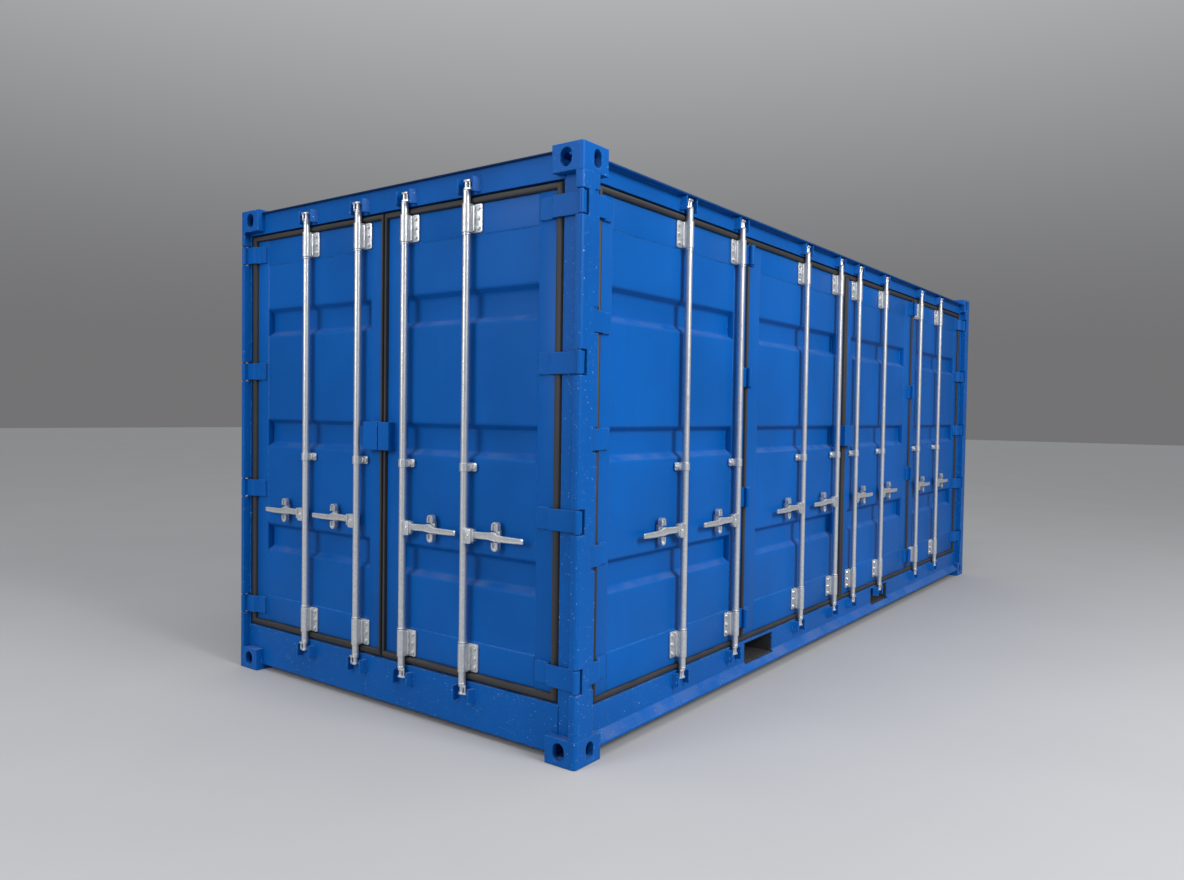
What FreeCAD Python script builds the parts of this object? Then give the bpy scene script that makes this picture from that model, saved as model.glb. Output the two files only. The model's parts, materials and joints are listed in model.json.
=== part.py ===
import FreeCAD, Part
import os
import re
import Sketcher
from FreeCAD import Vector

# ---------------------------------------------------------------------------
# A 20 ft steel shipping container with double doors in one end and two pairs
# of folding doors along one long side.
#
# Frame: +Z up, origin on the ground under the middle of the box, +X along the
# length. The end doors are in the -X end and the folding doors in the -Y side.
# "Depth" is measured inwards from the outer faces of the corner castings.
# ---------------------------------------------------------------------------

doc = FreeCAD.newDocument("container")
sheet = doc.addObject("Spreadsheet::Sheet", "sizes")

SIZES = [
    # overall box
    ("length_all", 6058), ("width_all", 2438), ("height_all", 2591),
    # corner castings
    ("cast_long", 178), ("cast_wide", 162), ("cast_high", 118), ("cast_round", 14.5), ("cast_edge", 5),
    ("cast_wall", 28), ("cast_inner_wall", 10), ("round_share", 0.3),
    ("cast_gap", 3),
    ("slot_long", 124.5), ("slot_wide", 63.5), ("slot_from_end", 102.5), ("slot_from_side", 89.5),
    ("end_hole_wide", 63.5), ("end_hole_from_side", 89),
    ("side_hole_wide", 51), ("side_hole_from_end", 101.5),
    ("face_hole_high", 79.5), ("face_hole_up", 59),
    # set-backs of the door frames and leaves
    ("set_back", 43), ("leaf_back", 57), ("leaf_thick", 50), ("stop_back", 112), ("stop_thick", 8),
    ("plate", 6), ("heavy_plate", 8), ("sheet_metal", 2),
    # corner posts
    ("post_end_face", 35), ("post_side_face", 120), ("post_end_return", 127), ("post_side_return", 170),
    ("post_end_stop", 190), ("post_side_stop", 240), ("plain_post", 100),
    ("notch_deep", 46), ("notch_high", 109), ("side_notch_wide", 30),
    # the far door post is slimmer than the near one by this much, so the end doors meet off the middle
    ("far_shift", 88),
    # headers, sills and rails
    ("opening_top", 2459), ("stop_drop", 59), ("roof_top", 2575), ("end_lip", 16),
    ("side_top", 2560), ("side_lip_back", 2), ("side_lip_under", 2537), ("header_deep", 180),
    ("sill_under", 30), ("end_sill_top", 241), ("end_sill_deep", 112),
    ("side_sill_under", 54), ("side_sill_top", 222), ("knee_top", 104), ("knee_out", 4), ("sill_deep", 112),
    ("plain_face", 3), ("top_rail_under", 2500), ("rail_wide", 60),
    # forklift pockets
    ("pocket_wide", 353), ("pocket_under", 92), ("pocket_top", 209),
    ("pocket_left", -1255), ("pocket_right", 780),
    # roof, walls, floor and underframe
    ("wave_deep", 36), ("roof_wave", 13), ("floor_under", 222), ("floor_thick", 28), ("floor_edge", 122),
    ("member_high", 120), ("member_wide", 45), ("member_plate", 5), ("tunnel_plate", 4),
    ("member_from_stop", 25), ("member_from_pocket", 50), ("wall_step", 5), ("floor_gap", 2),
    # end door leaves, measured from the nearest side of the box
    ("end_leaf_edge", 175), ("end_leaf_bottom", 283), ("leaf_top", 2421), ("seam_half", 26.5),
    ("end_band_start", 274), ("end_band_seam", 111), ("end_seam_half", 22),
    # side door leaves, measured from the middle of the box
    ("side_leaf_edge", 200), ("side_leaf_bottom", 252), ("fold_seam", 1452), ("fold_half", 14),
    ("side_band_start", 297), ("outer_band_seam", 150), ("inner_band_seam", 157), ("centre_band", 130),
    # rails of the leaves and their pressed bands
    ("leaf_rail_under", 2281), ("leaf_rail_over", 425),
    ("band_deep", 36), ("band_slope", 25), ("band_high", 152),
    ("band_upper", 1962), ("band_middle", 1346), ("band_lower", 759), ("sheet_step", 3),
    # gaskets
    ("gasket_front", 40), ("gasket_deep", 32), ("gasket_gap", 5), ("gasket_seam_gap", 3.5),
    # lock rods
    ("rod_back", 22), ("rod_radius", 16.85), ("rod_bore", 17.6), ("collar_radius", 20.5),
    ("collar_high", 8), ("collar_gap", 3),
    ("rod_low", 186), ("rod_high", 2523), ("cam_radius", 16), ("cam_neck", 11), ("cam_high", 44),
    ("cam_lug", 33), ("cam_lug_half", 7), ("cam_plate", 8),
    ("sleeve_high", 130), ("sleeve_low_under", 288), ("sleeve_top_under", 2289), ("sleeve_half", 21),
    ("foot_half", 17), ("plate_lap", 6), ("guide_plate_wide", 30),
    ("bolt_plate_wide", 50), ("bolt_plate_thick", 9), ("guide_high", 40), ("guide_mid", 1228),
    ("keeper_gap", 44), ("keeper_thick", 7), ("keeper_foot", 22), ("keeper_high", 66), ("keeper_front", 8),
    ("keeper_low_under", 150), ("keeper_top_under", 2468),
    # handles
    ("hub_high", 70), ("hub_wide", 58), ("hub_mid", 917), ("handle_long", 362), ("handle_high", 32),
    ("handle_thick", 14), ("handle_rise", 7), ("handle_taper", 3), ("hub_start", 2), ("hub_step", 1),
    ("catch_from_rod", 192), ("catch_mid", 926), ("catch_high", 130), ("catch_wide", 42),
    ("catch_front", 36), ("stem_half_wide", 11), ("stem_half_high", 30), ("lobe_front", 20), ("lobe_in", 26),
    ("lobe_half_wide", 15),
    # hinges
    ("pin_back", 13), ("pin_in", 14), ("knuckle_radius", 12.5), ("pin_radius", 7), ("pin_hole", 7.6),
    ("knuckle_high", 96), ("pin_extra", 14), ("strap_high", 92),
    ("strap_front", 26), ("strap_thick", 10), ("strap_joggle", 178), ("strap_land", 196), ("strap_end", 262),
    ("side_pin_in", 105), ("side_pin_back", 24), ("side_blade_end", 272),
    ("fold_knuckle_radius", 17), ("fold_pin_back", 32), ("fold_blade", 62), ("fold_hinge_high", 104),
    ("fold_web_in", 1), ("strap_tail", 8), ("strap_bend", 4), ("side_joggle", 2), ("side_joggle_long", 16),
    ("side_bend", 4),
    # lock boxes
    ("box_front", 10), ("box_under", 1285), ("box_high", 138), ("box_near", 35), ("box_far", 152),
    ("box_gap", 4), ("box_wall", 5), ("side_box_low", 64), ("side_box_high", 97), ("box_clear", 0.5),
    # how far a cutting block runs past the face it cuts
    ("past", 1),
]

# heights of the hinges and places of the rods, each a driving dimension of its own
END_HINGES = [365, 1030, 1690, 2345]
POST_HINGES = [371, 873, 1370, 1870, 2353]
FOLD_HINGES = [357, 1030, 1690, 2361]
END_RODS = [639, 216, -130, -544]
SIDE_RODS = [-2142, -1587, -722, -173, 173, 722, 1587, 2142]

# cross-members in each of the three stretches of the underframe
MEMBER_COUNTS = (4, 5, 6)

# waves in each corrugated sheet, the share of a wave that each flat takes, and a 45 degree bend's set-in
FAR_WAVES, REAR_WAVES, ROOF_WAVES = 21, 9, 27
FLAT_SHARE = 0.27
NEAR = 0.001
BEND_SHARE = "0.414"

for heading, values in (("end_hinge", END_HINGES), ("post_hinge", POST_HINGES), ("fold_hinge", FOLD_HINGES),
                        ("end_rod_place", END_RODS), ("side_rod_place", SIDE_RODS)):
    for number, value in enumerate(values, 1):
        SIZES.append((f"{heading}_{number}", value))

for row, (alias, value) in enumerate(SIZES, 1):
    sheet.set(f"A{row}", alias)
    sheet.set(f"B{row}", str(value))
    sheet.setAlias(f"B{row}", alias)
doc.recompute()

ALIASES = {alias for alias, _ in SIZES}


def formula(text):
    """Turn a formula over the sheet's aliases into an expression that reads the sheet."""
    def link(match):
        word = match.group(0)
        return f"sizes.{word}" if word in ALIASES else word
    return re.sub(r"[A-Za-z_][A-Za-z_0-9]*", link, str(text))


def size(alias):
    return float(sheet.get(alias))


# ---------------------------------------------------------------------------
# small builders: every size and place is bound to the sheet
# ---------------------------------------------------------------------------

def box(name, x0, x1, y0, y1, z0, z1):
    solid = doc.addObject("Part::Box", name)
    for side, low, high in (("Length", x0, x1), ("Width", y0, y1), ("Height", z0, z1)):
        solid.setExpression(side, formula(f"({high}) - ({low})"))
    for axis, low in (("x", x0), ("y", y0), ("z", z0)):
        solid.setExpression(f"Placement.Base.{axis}", formula(low))
    return solid


def upright(name, x, y, z0, z1, radius):
    """A vertical cylinder."""
    solid = doc.addObject("Part::Cylinder", name)
    solid.setExpression("Radius", formula(radius))
    solid.setExpression("Height", formula(f"({z1}) - ({z0})"))
    for axis, value in (("x", x), ("y", y), ("z", z0)):
        solid.setExpression(f"Placement.Base.{axis}", formula(value))
    return solid


def fuse(name, solids):
    joined = doc.addObject("Part::MultiFuse", name)
    joined.Shapes = solids
    joined.Refine = True
    return joined


def cut(name, base, tools):
    tool = tools[0] if len(tools) == 1 else fuse(f"{name}_tools", tools)
    result = doc.addObject("Part::Cut", name)
    result.Base = base
    result.Tool = tool
    result.Refine = True
    return result


def together(name, solids):
    """One node that holds several like pieces which don't touch."""
    group = doc.addObject("Part::Compound", name)
    group.Links = solids
    return group


def mirrored(name, source, normal, base=Vector(0, 0, 0)):
    copy = doc.addObject("Part::Mirroring", name)
    copy.Source = source
    copy.Normal = normal
    copy.Base = base
    return copy


def profile(name, plane, points, start, end):
    """A closed outline, each corner bound to the sheet, padded from start to end.

    plane XY pads along Z, YZ along X and XZ along Y. A point is a pair of
    formulas in the row's own coordinates.
    """
    body = doc.addObject("PartDesign::Body", name)
    sketch = body.newObject("Sketcher::SketchObject", f"{name}_outline")
    support = [part for part in body.Origin.OriginFeatures if part.Role == f"{plane}_Plane"][0]
    sketch.AttachmentSupport = [(support, "")]
    sketch.MapMode = "FlatFace"
    rough = [(evaluate(across), evaluate(up)) for across, up in points]
    corners = len(points)
    for index in range(corners):
        here = Vector(*rough[index], 0)
        there = Vector(*rough[(index + 1) % corners], 0)
        sketch.addGeometry(Part.LineSegment(here, there))
    for index in range(corners):
        sketch.addConstraint(Sketcher.Constraint("Coincident", index, 2, (index + 1) % corners, 1))
    for index, (across, up) in enumerate(points):
        for kind, text, value in (("DistanceX", across, rough[index][0]), ("DistanceY", up, rough[index][1])):
            number = sketch.addConstraint(Sketcher.Constraint(kind, -1, 1, index, 1, value))
            sketch.setExpression(f"Constraints[{number}]", formula(text))
    pad = body.newObject("PartDesign::Pad", f"{name}_pad")
    pad.Profile = sketch
    pad.setExpression("Length", formula(f"({end}) - ({start})"))
    # an XZ sketch faces -Y, so its pad runs back from the far end
    axis, base = {"XY": ("z", start), "YZ": ("x", start), "XZ": ("y", end)}[plane]
    body.setExpression(f"Placement.Base.{axis}", formula(base))
    body.Tip = pad
    return body


def evaluate(text):
    """The value of a formula now, used to draw an outline before its constraints hold it."""
    words = {alias: size(alias) for alias in re.findall(r"[A-Za-z_][A-Za-z_0-9]*", str(text))}
    return float(FreeCAD.Units.Quantity(re.sub(r"[A-Za-z_][A-Za-z_0-9]*",
                                               lambda match: repr(words[match.group(0)]), str(text))).Value)


# ---------------------------------------------------------------------------
# places on the two door faces: "s" runs along the face, "depth" goes inwards
# ---------------------------------------------------------------------------

def on_face(face, s0, s1, depth0, depth1):
    """X and Y ranges of a piece on the door end or on the folding-door side."""
    if face == "end":
        return (f"-length_all/2 + {depth0}", f"-length_all/2 + {depth1}", s0, s1)
    return (s0, s1, f"-width_all/2 + {depth0}", f"-width_all/2 + {depth1}")


def face_box(name, face, s0, s1, depth0, depth1, z0, z1):
    x0, x1, y0, y1 = on_face(face, s0, s1, depth0, depth1)
    return box(name, x0, x1, y0, y1, z0, z1)


def face_upright(name, face, s, depth, z0, z1, radius):
    x, _, y, _ = on_face(face, s, s, depth, depth)
    return upright(name, x, y, z0, z1, radius)


def face_slab(name, face, s0, s1, depth0, depth1, z0, z1):
    """A box whose two places along the face may come in either order."""
    if evaluate(s0) > evaluate(s1):
        s0, s1 = s1, s0
    return face_box(name, face, s0, s1, depth0, depth1, z0, z1)


# ---------------------------------------------------------------------------
# corner castings
# ---------------------------------------------------------------------------

def slot(name, centre, half_long, half_wide, run, axis):
    """A round-ended hole: a middle box with a cylinder at each end.

    centre is the slot's middle on the face, run its length inwards and axis
    the direction in which it is cut.
    """
    cx, cy, cz = centre
    straight = f"({half_long}) - ({half_wide})"
    pieces = []
    if axis == "z":
        pieces.append(box(f"{name}_mid", f"{cx} - ({straight})", f"{cx} + ({straight})",
                          f"{cy} - ({half_wide})", f"{cy} + ({half_wide})", cz, f"{cz} + {run}"))
    elif axis == "x":
        pieces.append(box(f"{name}_mid", cx, f"{cx} + {run}", f"{cy} - ({half_wide})", f"{cy} + ({half_wide})",
                          f"{cz} - ({straight})", f"{cz} + ({straight})"))
    else:
        pieces.append(box(f"{name}_mid", f"{cx} - ({half_wide})", f"{cx} + ({half_wide})", cy, f"{cy} + {run}",
                          f"{cz} - ({straight})", f"{cz} + ({straight})"))
    turn = {"z": ((0, 0, 1), 0), "x": ((0, 1, 0), 90), "y": ((1, 0, 0), -90)}[axis]
    for side in ("-", "+"):
        end = doc.addObject("Part::Cylinder", f"{name}_end")
        end.setExpression("Radius", formula(half_wide))
        end.setExpression("Height", formula(run))
        end.Placement = FreeCAD.Placement(Vector(0, 0, 0), FreeCAD.Rotation(Vector(*turn[0]), turn[1]))
        shift = {"z": (f"{cx} {side} ({straight})", cy, cz),
                 "x": (cx, cy, f"{cz} {side} ({straight})"),
                 "y": (cx, cy, f"{cz} {side} ({straight})")}[axis]
        for letter, value in zip("xyz", shift):
            end.setExpression(f"Placement.Base.{letter}", formula(value))
        pieces.append(end)
    return pieces


def corner_casting():
    """The bottom casting at the -X, -Y corner: a hollow block with a hole in each outer face."""
    x0, y0 = "-length_all/2", "-width_all/2"
    block = box("casting_block", x0, f"{x0} + cast_long", y0, f"{y0} + cast_wide", "0", "cast_high")
    doc.recompute()
    rounded = doc.addObject("Part::Fillet", "casting_rounded")
    rounded.Base = block
    corner = Vector(-size("length_all") / 2, -size("width_all") / 2, size("cast_high") / 2)
    rounds = []
    for number, edge in enumerate(block.Shape.Edges, 1):
        middle = edge.CenterOfMass
        on_end, on_side = abs(middle.x - corner.x) < NEAR, abs(middle.y - corner.y) < NEAR
        if on_end and on_side:
            rounds.append((number, size("cast_round"), size("cast_round")))
        elif (on_end or on_side) and abs(middle.z) < NEAR:
            rounds.append((number, size("cast_edge"), size("cast_edge")))
    rounded.Edges = rounds
    cavity = box("casting_cavity", f"{x0} + cast_wall", f"{x0} + cast_long - cast_inner_wall",
                 f"{y0} + cast_wall", f"{y0} + cast_wide - cast_inner_wall",
                 "cast_wall", "cast_high - cast_inner_wall")
    below = slot("casting_below", (f"{x0} + slot_from_end", f"{y0} + slot_from_side", "-past"),
                 "slot_long/2", "slot_wide/2", "cast_wall + 2*past", "z")
    in_end = slot("casting_end", (f"{x0} - past", f"{y0} + end_hole_from_side", "face_hole_up"),
                  "face_hole_high/2", "end_hole_wide/2", "cast_wall + 2*past", "x")
    in_side = slot("casting_side", (f"{x0} + side_hole_from_end", f"{y0} - past", "face_hole_up"),
                   "face_hole_high/2", "side_hole_wide/2", "cast_wall + 2*past", "y")
    return cut("casting", rounded, [cavity] + below + in_end + in_side)


def corner_castings():
    first = corner_casting()
    middle = Vector(0, 0, size("height_all") / 2)
    along, across, over = Vector(1, 0, 0), Vector(0, 1, 0), Vector(0, 0, 1)
    bottom = [first, mirrored("casting_b", first, along), mirrored("casting_c", first, across)]
    bottom.append(mirrored("casting_d", bottom[1], across))
    top = [mirrored(f"top_casting_{letter}", casting, over, middle) for letter, casting in zip("abcd", bottom)]
    return [together("bottom_castings", bottom), together("top_castings", top)]


# ---------------------------------------------------------------------------
# corner posts
# ---------------------------------------------------------------------------

def corner_outline(points, end_sign, side_sign):
    """Turn (depth from the end, depth from the side) pairs into X, Y formulas."""
    end = {"-": "-length_all/2 + ({})", "+": "length_all/2 - ({})"}[end_sign]
    side = {"-": "-width_all/2 + ({})", "+": "width_all/2 - ({})"}[side_sign]
    return [(end.format(along), side.format(across)) for along, across in points]


DOOR_END_STEPS = [("stop_back + stop_thick", "post_end_stop"), ("stop_back", "post_end_stop"),
                  ("stop_back", "post_end_return"), ("set_back", "post_end_return"),
                  ("set_back", "post_end_face"), ("0", "post_end_face")]
FAR_END_STEPS = [("stop_back + stop_thick", "0"), ("stop_back + stop_thick", "post_end_stop - far_shift"),
                 ("stop_back", "post_end_stop - far_shift"), ("stop_back", "post_end_return - far_shift"),
                 ("set_back", "post_end_return - far_shift"), ("set_back", "post_end_face"),
                 ("0", "post_end_face")]
DOOR_SIDE_STEPS = [("post_side_face", "0"), ("post_side_face", "set_back"), ("post_side_return", "set_back"),
                   ("post_side_return", "stop_back"), ("post_side_stop", "stop_back"),
                   ("post_side_stop", "stop_back + stop_thick")]
INNER_CORNER = [("stop_back + stop_thick", "stop_back + stop_thick")]


def notches(name, heights, x0, x1, y0, y1):
    """Square notches where the hinge knuckles turn, one at each hinge height."""
    return [box(f"{name}_notch", x0, x1, y0, y1, f"{height} - notch_high/2", f"{height} + notch_high/2")
            for height in heights]


def end_pin_holes(name, side_sign):
    y = {"-": "-width_all/2 + pin_in", "+": "width_all/2 - pin_in"}[side_sign]
    reach = "notch_high/2 + pin_extra + past"
    return [upright(f"{name}_pin_hole", "-length_all/2 + pin_back", y,
                    f"end_hinge_{number} - ({reach})", f"end_hinge_{number} + {reach}", "pin_hole")
            for number in range(1, len(END_HINGES) + 1)]


def side_notches(name, end_sign):
    if end_sign == "-":
        x0, x1 = "-length_all/2 + post_side_face - side_notch_wide", "-length_all/2 + post_side_face + past"
    else:
        x0, x1 = "length_all/2 - post_side_face - past", "length_all/2 - post_side_face + side_notch_wide"
    heights = [f"post_hinge_{number}" for number in range(1, len(POST_HINGES) + 1)]
    return notches(name, heights, x0, x1, "-width_all/2 - past", "-width_all/2 + set_back - past")


def corner_posts():
    z0, z1 = "cast_high", "height_all - cast_high"
    # the rounded outer corner, as two short flats
    start = [("0", "cast_round"), ("cast_round*round_share", "cast_round*round_share"), ("cast_round", "0")]
    heights = [f"end_hinge_{number}" for number in range(1, len(END_HINGES) + 1)]
    x_face = "-length_all/2"

    near = profile("door_post_near_bar", "XY",
                   corner_outline(start + DOOR_SIDE_STEPS + INNER_CORNER + DOOR_END_STEPS, "-", "-"), z0, z1)
    near_cuts = notches("near", heights, f"{x_face} - past", f"{x_face} + notch_deep",
                        "-width_all/2 - past", "-width_all/2 + post_end_face + past")
    near = cut("door_post_near", near, near_cuts + end_pin_holes("near", "-") + side_notches("near_side", "-"))

    far = profile("door_post_far_bar", "XY", corner_outline(start + FAR_END_STEPS, "-", "+"), z0, z1)
    far_cuts = notches("far", heights, f"{x_face} - past", f"{x_face} + notch_deep",
                       "width_all/2 - post_end_face - past", "width_all/2 + past")
    far = cut("door_post_far", far, far_cuts + end_pin_holes("far", "+"))

    plain_end = [("plain_post", "stop_back + stop_thick"), ("plain_post", "plain_post"), ("0", "plain_post")]
    rear_near = profile("rear_post_near_bar", "XY",
                        corner_outline(start + DOOR_SIDE_STEPS + plain_end, "+", "-"), z0, z1)
    rear_near = cut("rear_post_near", rear_near, side_notches("rear_side", "+"))
    rear_far = profile("rear_post_far", "XY",
                       corner_outline(start + [("plain_post", "0"), ("plain_post", "plain_post"),
                                               ("0", "plain_post")], "+", "+"), z0, z1)
    return [near, far, rear_near, rear_far]


# ---------------------------------------------------------------------------
# headers, sills and rails
# ---------------------------------------------------------------------------

def casting_clearances(name, face):
    """Boxes that clear a header or sill of the four castings nearest to it."""
    clear = []
    for sign in ("-", "+"):
        if face == "end":
            y = ("-width_all/2 - past", "-width_all/2 + cast_wide") if sign == "-" else \
                ("width_all/2 - cast_wide", "width_all/2 + past")
            x = ("-length_all/2 - past", "-length_all/2 + cast_long + cast_gap")
        elif face == "rear":
            y = ("-width_all/2 - past", "-width_all/2 + cast_wide") if sign == "-" else \
                ("width_all/2 - cast_wide", "width_all/2 + past")
            x = ("length_all/2 - cast_long - cast_gap", "length_all/2 + past")
        else:
            x = ("-length_all/2 - past", "-length_all/2 + cast_long") if sign == "-" else \
                ("length_all/2 - cast_long", "length_all/2 + past")
            y = ("-width_all/2 - past", "-width_all/2 + cast_wide + past") if face == "side" else \
                ("width_all/2 - cast_wide - past", "width_all/2 + past")
        clear.append(box(f"{name}_clear_low", *x, *y, "-past", "cast_high"))
        clear.append(box(f"{name}_clear_top", *x, *y, "height_all - cast_high", "height_all + past"))
    return clear


def door_header():
    """A folded header with the roof lip above it and the door stop hanging inside it."""
    def at(depth, z):
        return (f"-length_all/2 + {depth}", z)
    outline = [at("set_back - end_lip", "roof_top - plate"), at("set_back", "roof_top - plate"),
               at("set_back", "opening_top"), at("stop_back", "opening_top"),
               at("stop_back", "opening_top - stop_drop"), at("stop_back + stop_thick",
                                                              "opening_top - stop_drop"),
               at("stop_back + stop_thick", "opening_top + plate"),
               at("set_back + plate", "opening_top + plate"),
               at("set_back + plate", "roof_top - plate"), at("header_deep", "roof_top - plate"),
               at("header_deep", "roof_top"), at("set_back - end_lip", "roof_top")]
    bar = profile("door_header_bar", "XZ", outline, "-width_all/2 + post_end_return",
                  "width_all/2 - post_end_return + far_shift")
    stops = [box("door_header_stop_clear", "-length_all/2 + stop_back", "-length_all/2 + header_deep + past",
                 y0, y1, "opening_top - stop_drop - past", "height_all - cast_high")
             for y0, y1 in (("-width_all/2", "-width_all/2 + post_end_stop"),
                            ("width_all/2 - post_end_stop + far_shift", "width_all/2"))]
    return cut("door_header", bar, casting_clearances("door_header", "end") + stops)


def side_header():
    """The folding doors' header, with a rain lip that reaches out to the outer face."""
    def at(depth, z):
        return (f"-width_all/2 + {depth}", z)
    outline = [at("side_lip_back", "side_lip_under"), at("set_back", "side_lip_under"),
               at("set_back", "opening_top"), at("stop_back", "opening_top"),
               at("stop_back", "opening_top - stop_drop"), at("stop_back + stop_thick",
                                                              "opening_top - stop_drop"),
               at("stop_back + stop_thick", "opening_top + plate"),
               at("set_back + plate", "opening_top + plate"),
               at("set_back + plate", "side_top - plate"), at("cast_wide", "side_top - plate"),
               at("cast_wide", "side_top"), at("set_back", "side_top"),
               at("set_back", "side_lip_under + plate"), at("side_lip_back", "side_lip_under + plate")]
    bar = profile("side_header_bar", "YZ", outline, "-length_all/2 + post_side_return",
                  "length_all/2 - post_side_return")
    stops = [box("side_header_stop_clear", x0, x1, "-width_all/2 + stop_back",
                 "-width_all/2 + cast_wide + past",
                 "opening_top - stop_drop - past", "height_all - cast_high")
             for x0, x1 in (("-length_all/2", "-length_all/2 + post_side_stop"),
                            ("length_all/2 - post_side_stop", "length_all/2"))]
    return cut("side_header", bar, casting_clearances("side_header", "side") + stops)


def door_sill():
    def at(depth, z):
        return (f"-length_all/2 + {depth}", z)
    outline = [at("set_back", "sill_under"), at("end_sill_deep", "sill_under"),
               at("end_sill_deep", "sill_under + heavy_plate"),
               at("set_back + heavy_plate", "sill_under + heavy_plate"),
               at("set_back + heavy_plate", "end_sill_top - heavy_plate"),
               at("end_sill_deep", "end_sill_top - heavy_plate"),
               at("end_sill_deep", "end_sill_top"), at("set_back", "end_sill_top")]
    bar = profile("door_sill_bar", "XZ", outline, "-width_all/2 + post_end_return",
                  "width_all/2 - post_end_return + far_shift")
    return cut("door_sill", bar, casting_clearances("door_sill", "end"))


def pockets(name, y0, y1):
    """The two forklift pockets, cut through a rail."""
    return [box(f"{name}_pocket", f"{middle} - pocket_wide/2", f"{middle} + pocket_wide/2", y0, y1,
                "pocket_under", "pocket_top") for middle in ("pocket_left", "pocket_right")]


def side_sill():
    """The folding doors' sill: an upright web that kicks out at 45 degrees to the outer face."""
    def at(depth, z):
        return (f"-width_all/2 + {depth}", z)
    kick_low = "knee_top - set_back + knee_out"
    inner_knee = f"knee_top - heavy_plate*{BEND_SHARE}"
    floor_top = "side_sill_under + heavy_plate"
    outline = [at("set_back", "side_sill_top"), at("set_back", "knee_top"), at("knee_out", kick_low),
               at("knee_out", "side_sill_under"), at("rail_wide", "side_sill_under"),
               at("rail_wide", floor_top),
               at(f"set_back + heavy_plate - ({inner_knee} - ({floor_top}))", floor_top),
               at("set_back + heavy_plate", inner_knee),
               at("set_back + heavy_plate", "side_sill_top - heavy_plate"),
               at("sill_deep", "side_sill_top - heavy_plate"), at("sill_deep", "side_sill_top")]
    bar = profile("side_sill_bar", "YZ", outline, "-length_all/2 + post_side_return",
                  "length_all/2 - post_side_return")
    holes = pockets("side_sill", "-width_all/2 - past", "-width_all/2 + sill_deep + past")
    return cut("side_sill", bar, casting_clearances("side_sill", "side") + holes)


def plain_rails():
    """The rails of the far side and of the rear end."""
    def far(depth, z):
        return (f"width_all/2 - ({depth})", z)

    def rear(depth, z):
        return (f"length_all/2 - ({depth})", z)

    def channel(at, under, top):
        return [at("plain_face", under), at("rail_wide", under), at("rail_wide", f"{under} + heavy_plate"),
                at("plain_face + heavy_plate", f"{under} + heavy_plate"),
                at("plain_face + heavy_plate", f"{top} - heavy_plate"), at("rail_wide", f"{top} - heavy_plate"),
                at("rail_wide", top), at("plain_face", top)]

    x0, x1 = "-length_all/2 + stop_back + stop_thick", "length_all/2 - plain_post"
    y0, y1 = "-width_all/2 + plain_post", "width_all/2 - plain_post"
    far_bottom = profile("far_bottom_rail_bar", "YZ", channel(far, "side_sill_under", "side_sill_top"), x0, x1)
    far_bottom = cut("far_bottom_rail", far_bottom, casting_clearances("far_bottom_rail", "far")
                     + pockets("far_rail", "width_all/2 - rail_wide - past", "width_all/2 + past"))
    outer = box("far_top_rail_tube", x0, x1, "width_all/2 - plain_face - rail_wide", "width_all/2 - plain_face",
                "top_rail_under", "side_top")
    bore = box("far_top_rail_bore", f"{x0} - past", f"{x1} + past",
               "width_all/2 - plain_face - rail_wide + plate", "width_all/2 - plain_face - plate",
               "top_rail_under + plate", "side_top - plate")
    far_top = cut("far_top_rail", outer, [bore] + casting_clearances("far_top_rail", "far"))
    rear_sill = profile("rear_sill_bar", "XZ", channel(rear, "sill_under", "side_sill_top"), y0, y1)
    rear_sill = cut("rear_sill", rear_sill, casting_clearances("rear_sill", "rear"))
    outline = [rear("plain_face", "roof_top"), rear("plain_face", "opening_top"),
               rear("rail_wide", "opening_top"),
               rear("rail_wide", "opening_top + plate"), rear("plain_face + plate", "opening_top + plate"),
               rear("plain_face + plate", "roof_top - plate"), rear("header_deep", "roof_top - plate"),
               rear("header_deep", "roof_top")]
    rear_header = profile("rear_header_bar", "XZ", outline, y0, y1)
    rear_header = cut("rear_header", rear_header, casting_clearances("rear_header", "rear"))
    return [far_bottom, far_top, rear_sill, rear_header]


# ---------------------------------------------------------------------------
# corrugated sheets, floor and underframe
# ---------------------------------------------------------------------------

def wave_points(start, end, waves, deep):
    """One trapezoid wave line from start to end: crest, slope, trough, slope, over and over."""
    pitch = (end - start) / waves
    flat = pitch * FLAT_SHARE
    slope = pitch / 2 - flat
    points = [(start, 0.0)]
    for number in range(waves):
        here = start + number * pitch
        points += [(here + flat / 2, 0.0), (here + flat / 2 + slope, deep),
                   (here + flat / 2 + slope + flat, deep), (here + flat / 2 + 2 * slope + flat, 0.0)]
    return points + [(end, 0.0)]


def corrugated(name, points, thick, place, run):
    """A sheet of real thickness along a wave line.

    place turns (along, deep) into a point and run is the sheet's height or width as a vector.
    """
    front = [place(along, deep) for along, deep in points]
    back = [place(along, deep + thick) for along, deep in reversed(points)]
    outline = Part.makePolygon(front + back + [front[0]])
    feature = doc.addObject("Part::Feature", name)
    feature.Shape = Part.Face(outline).extrude(run)
    return feature


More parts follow.
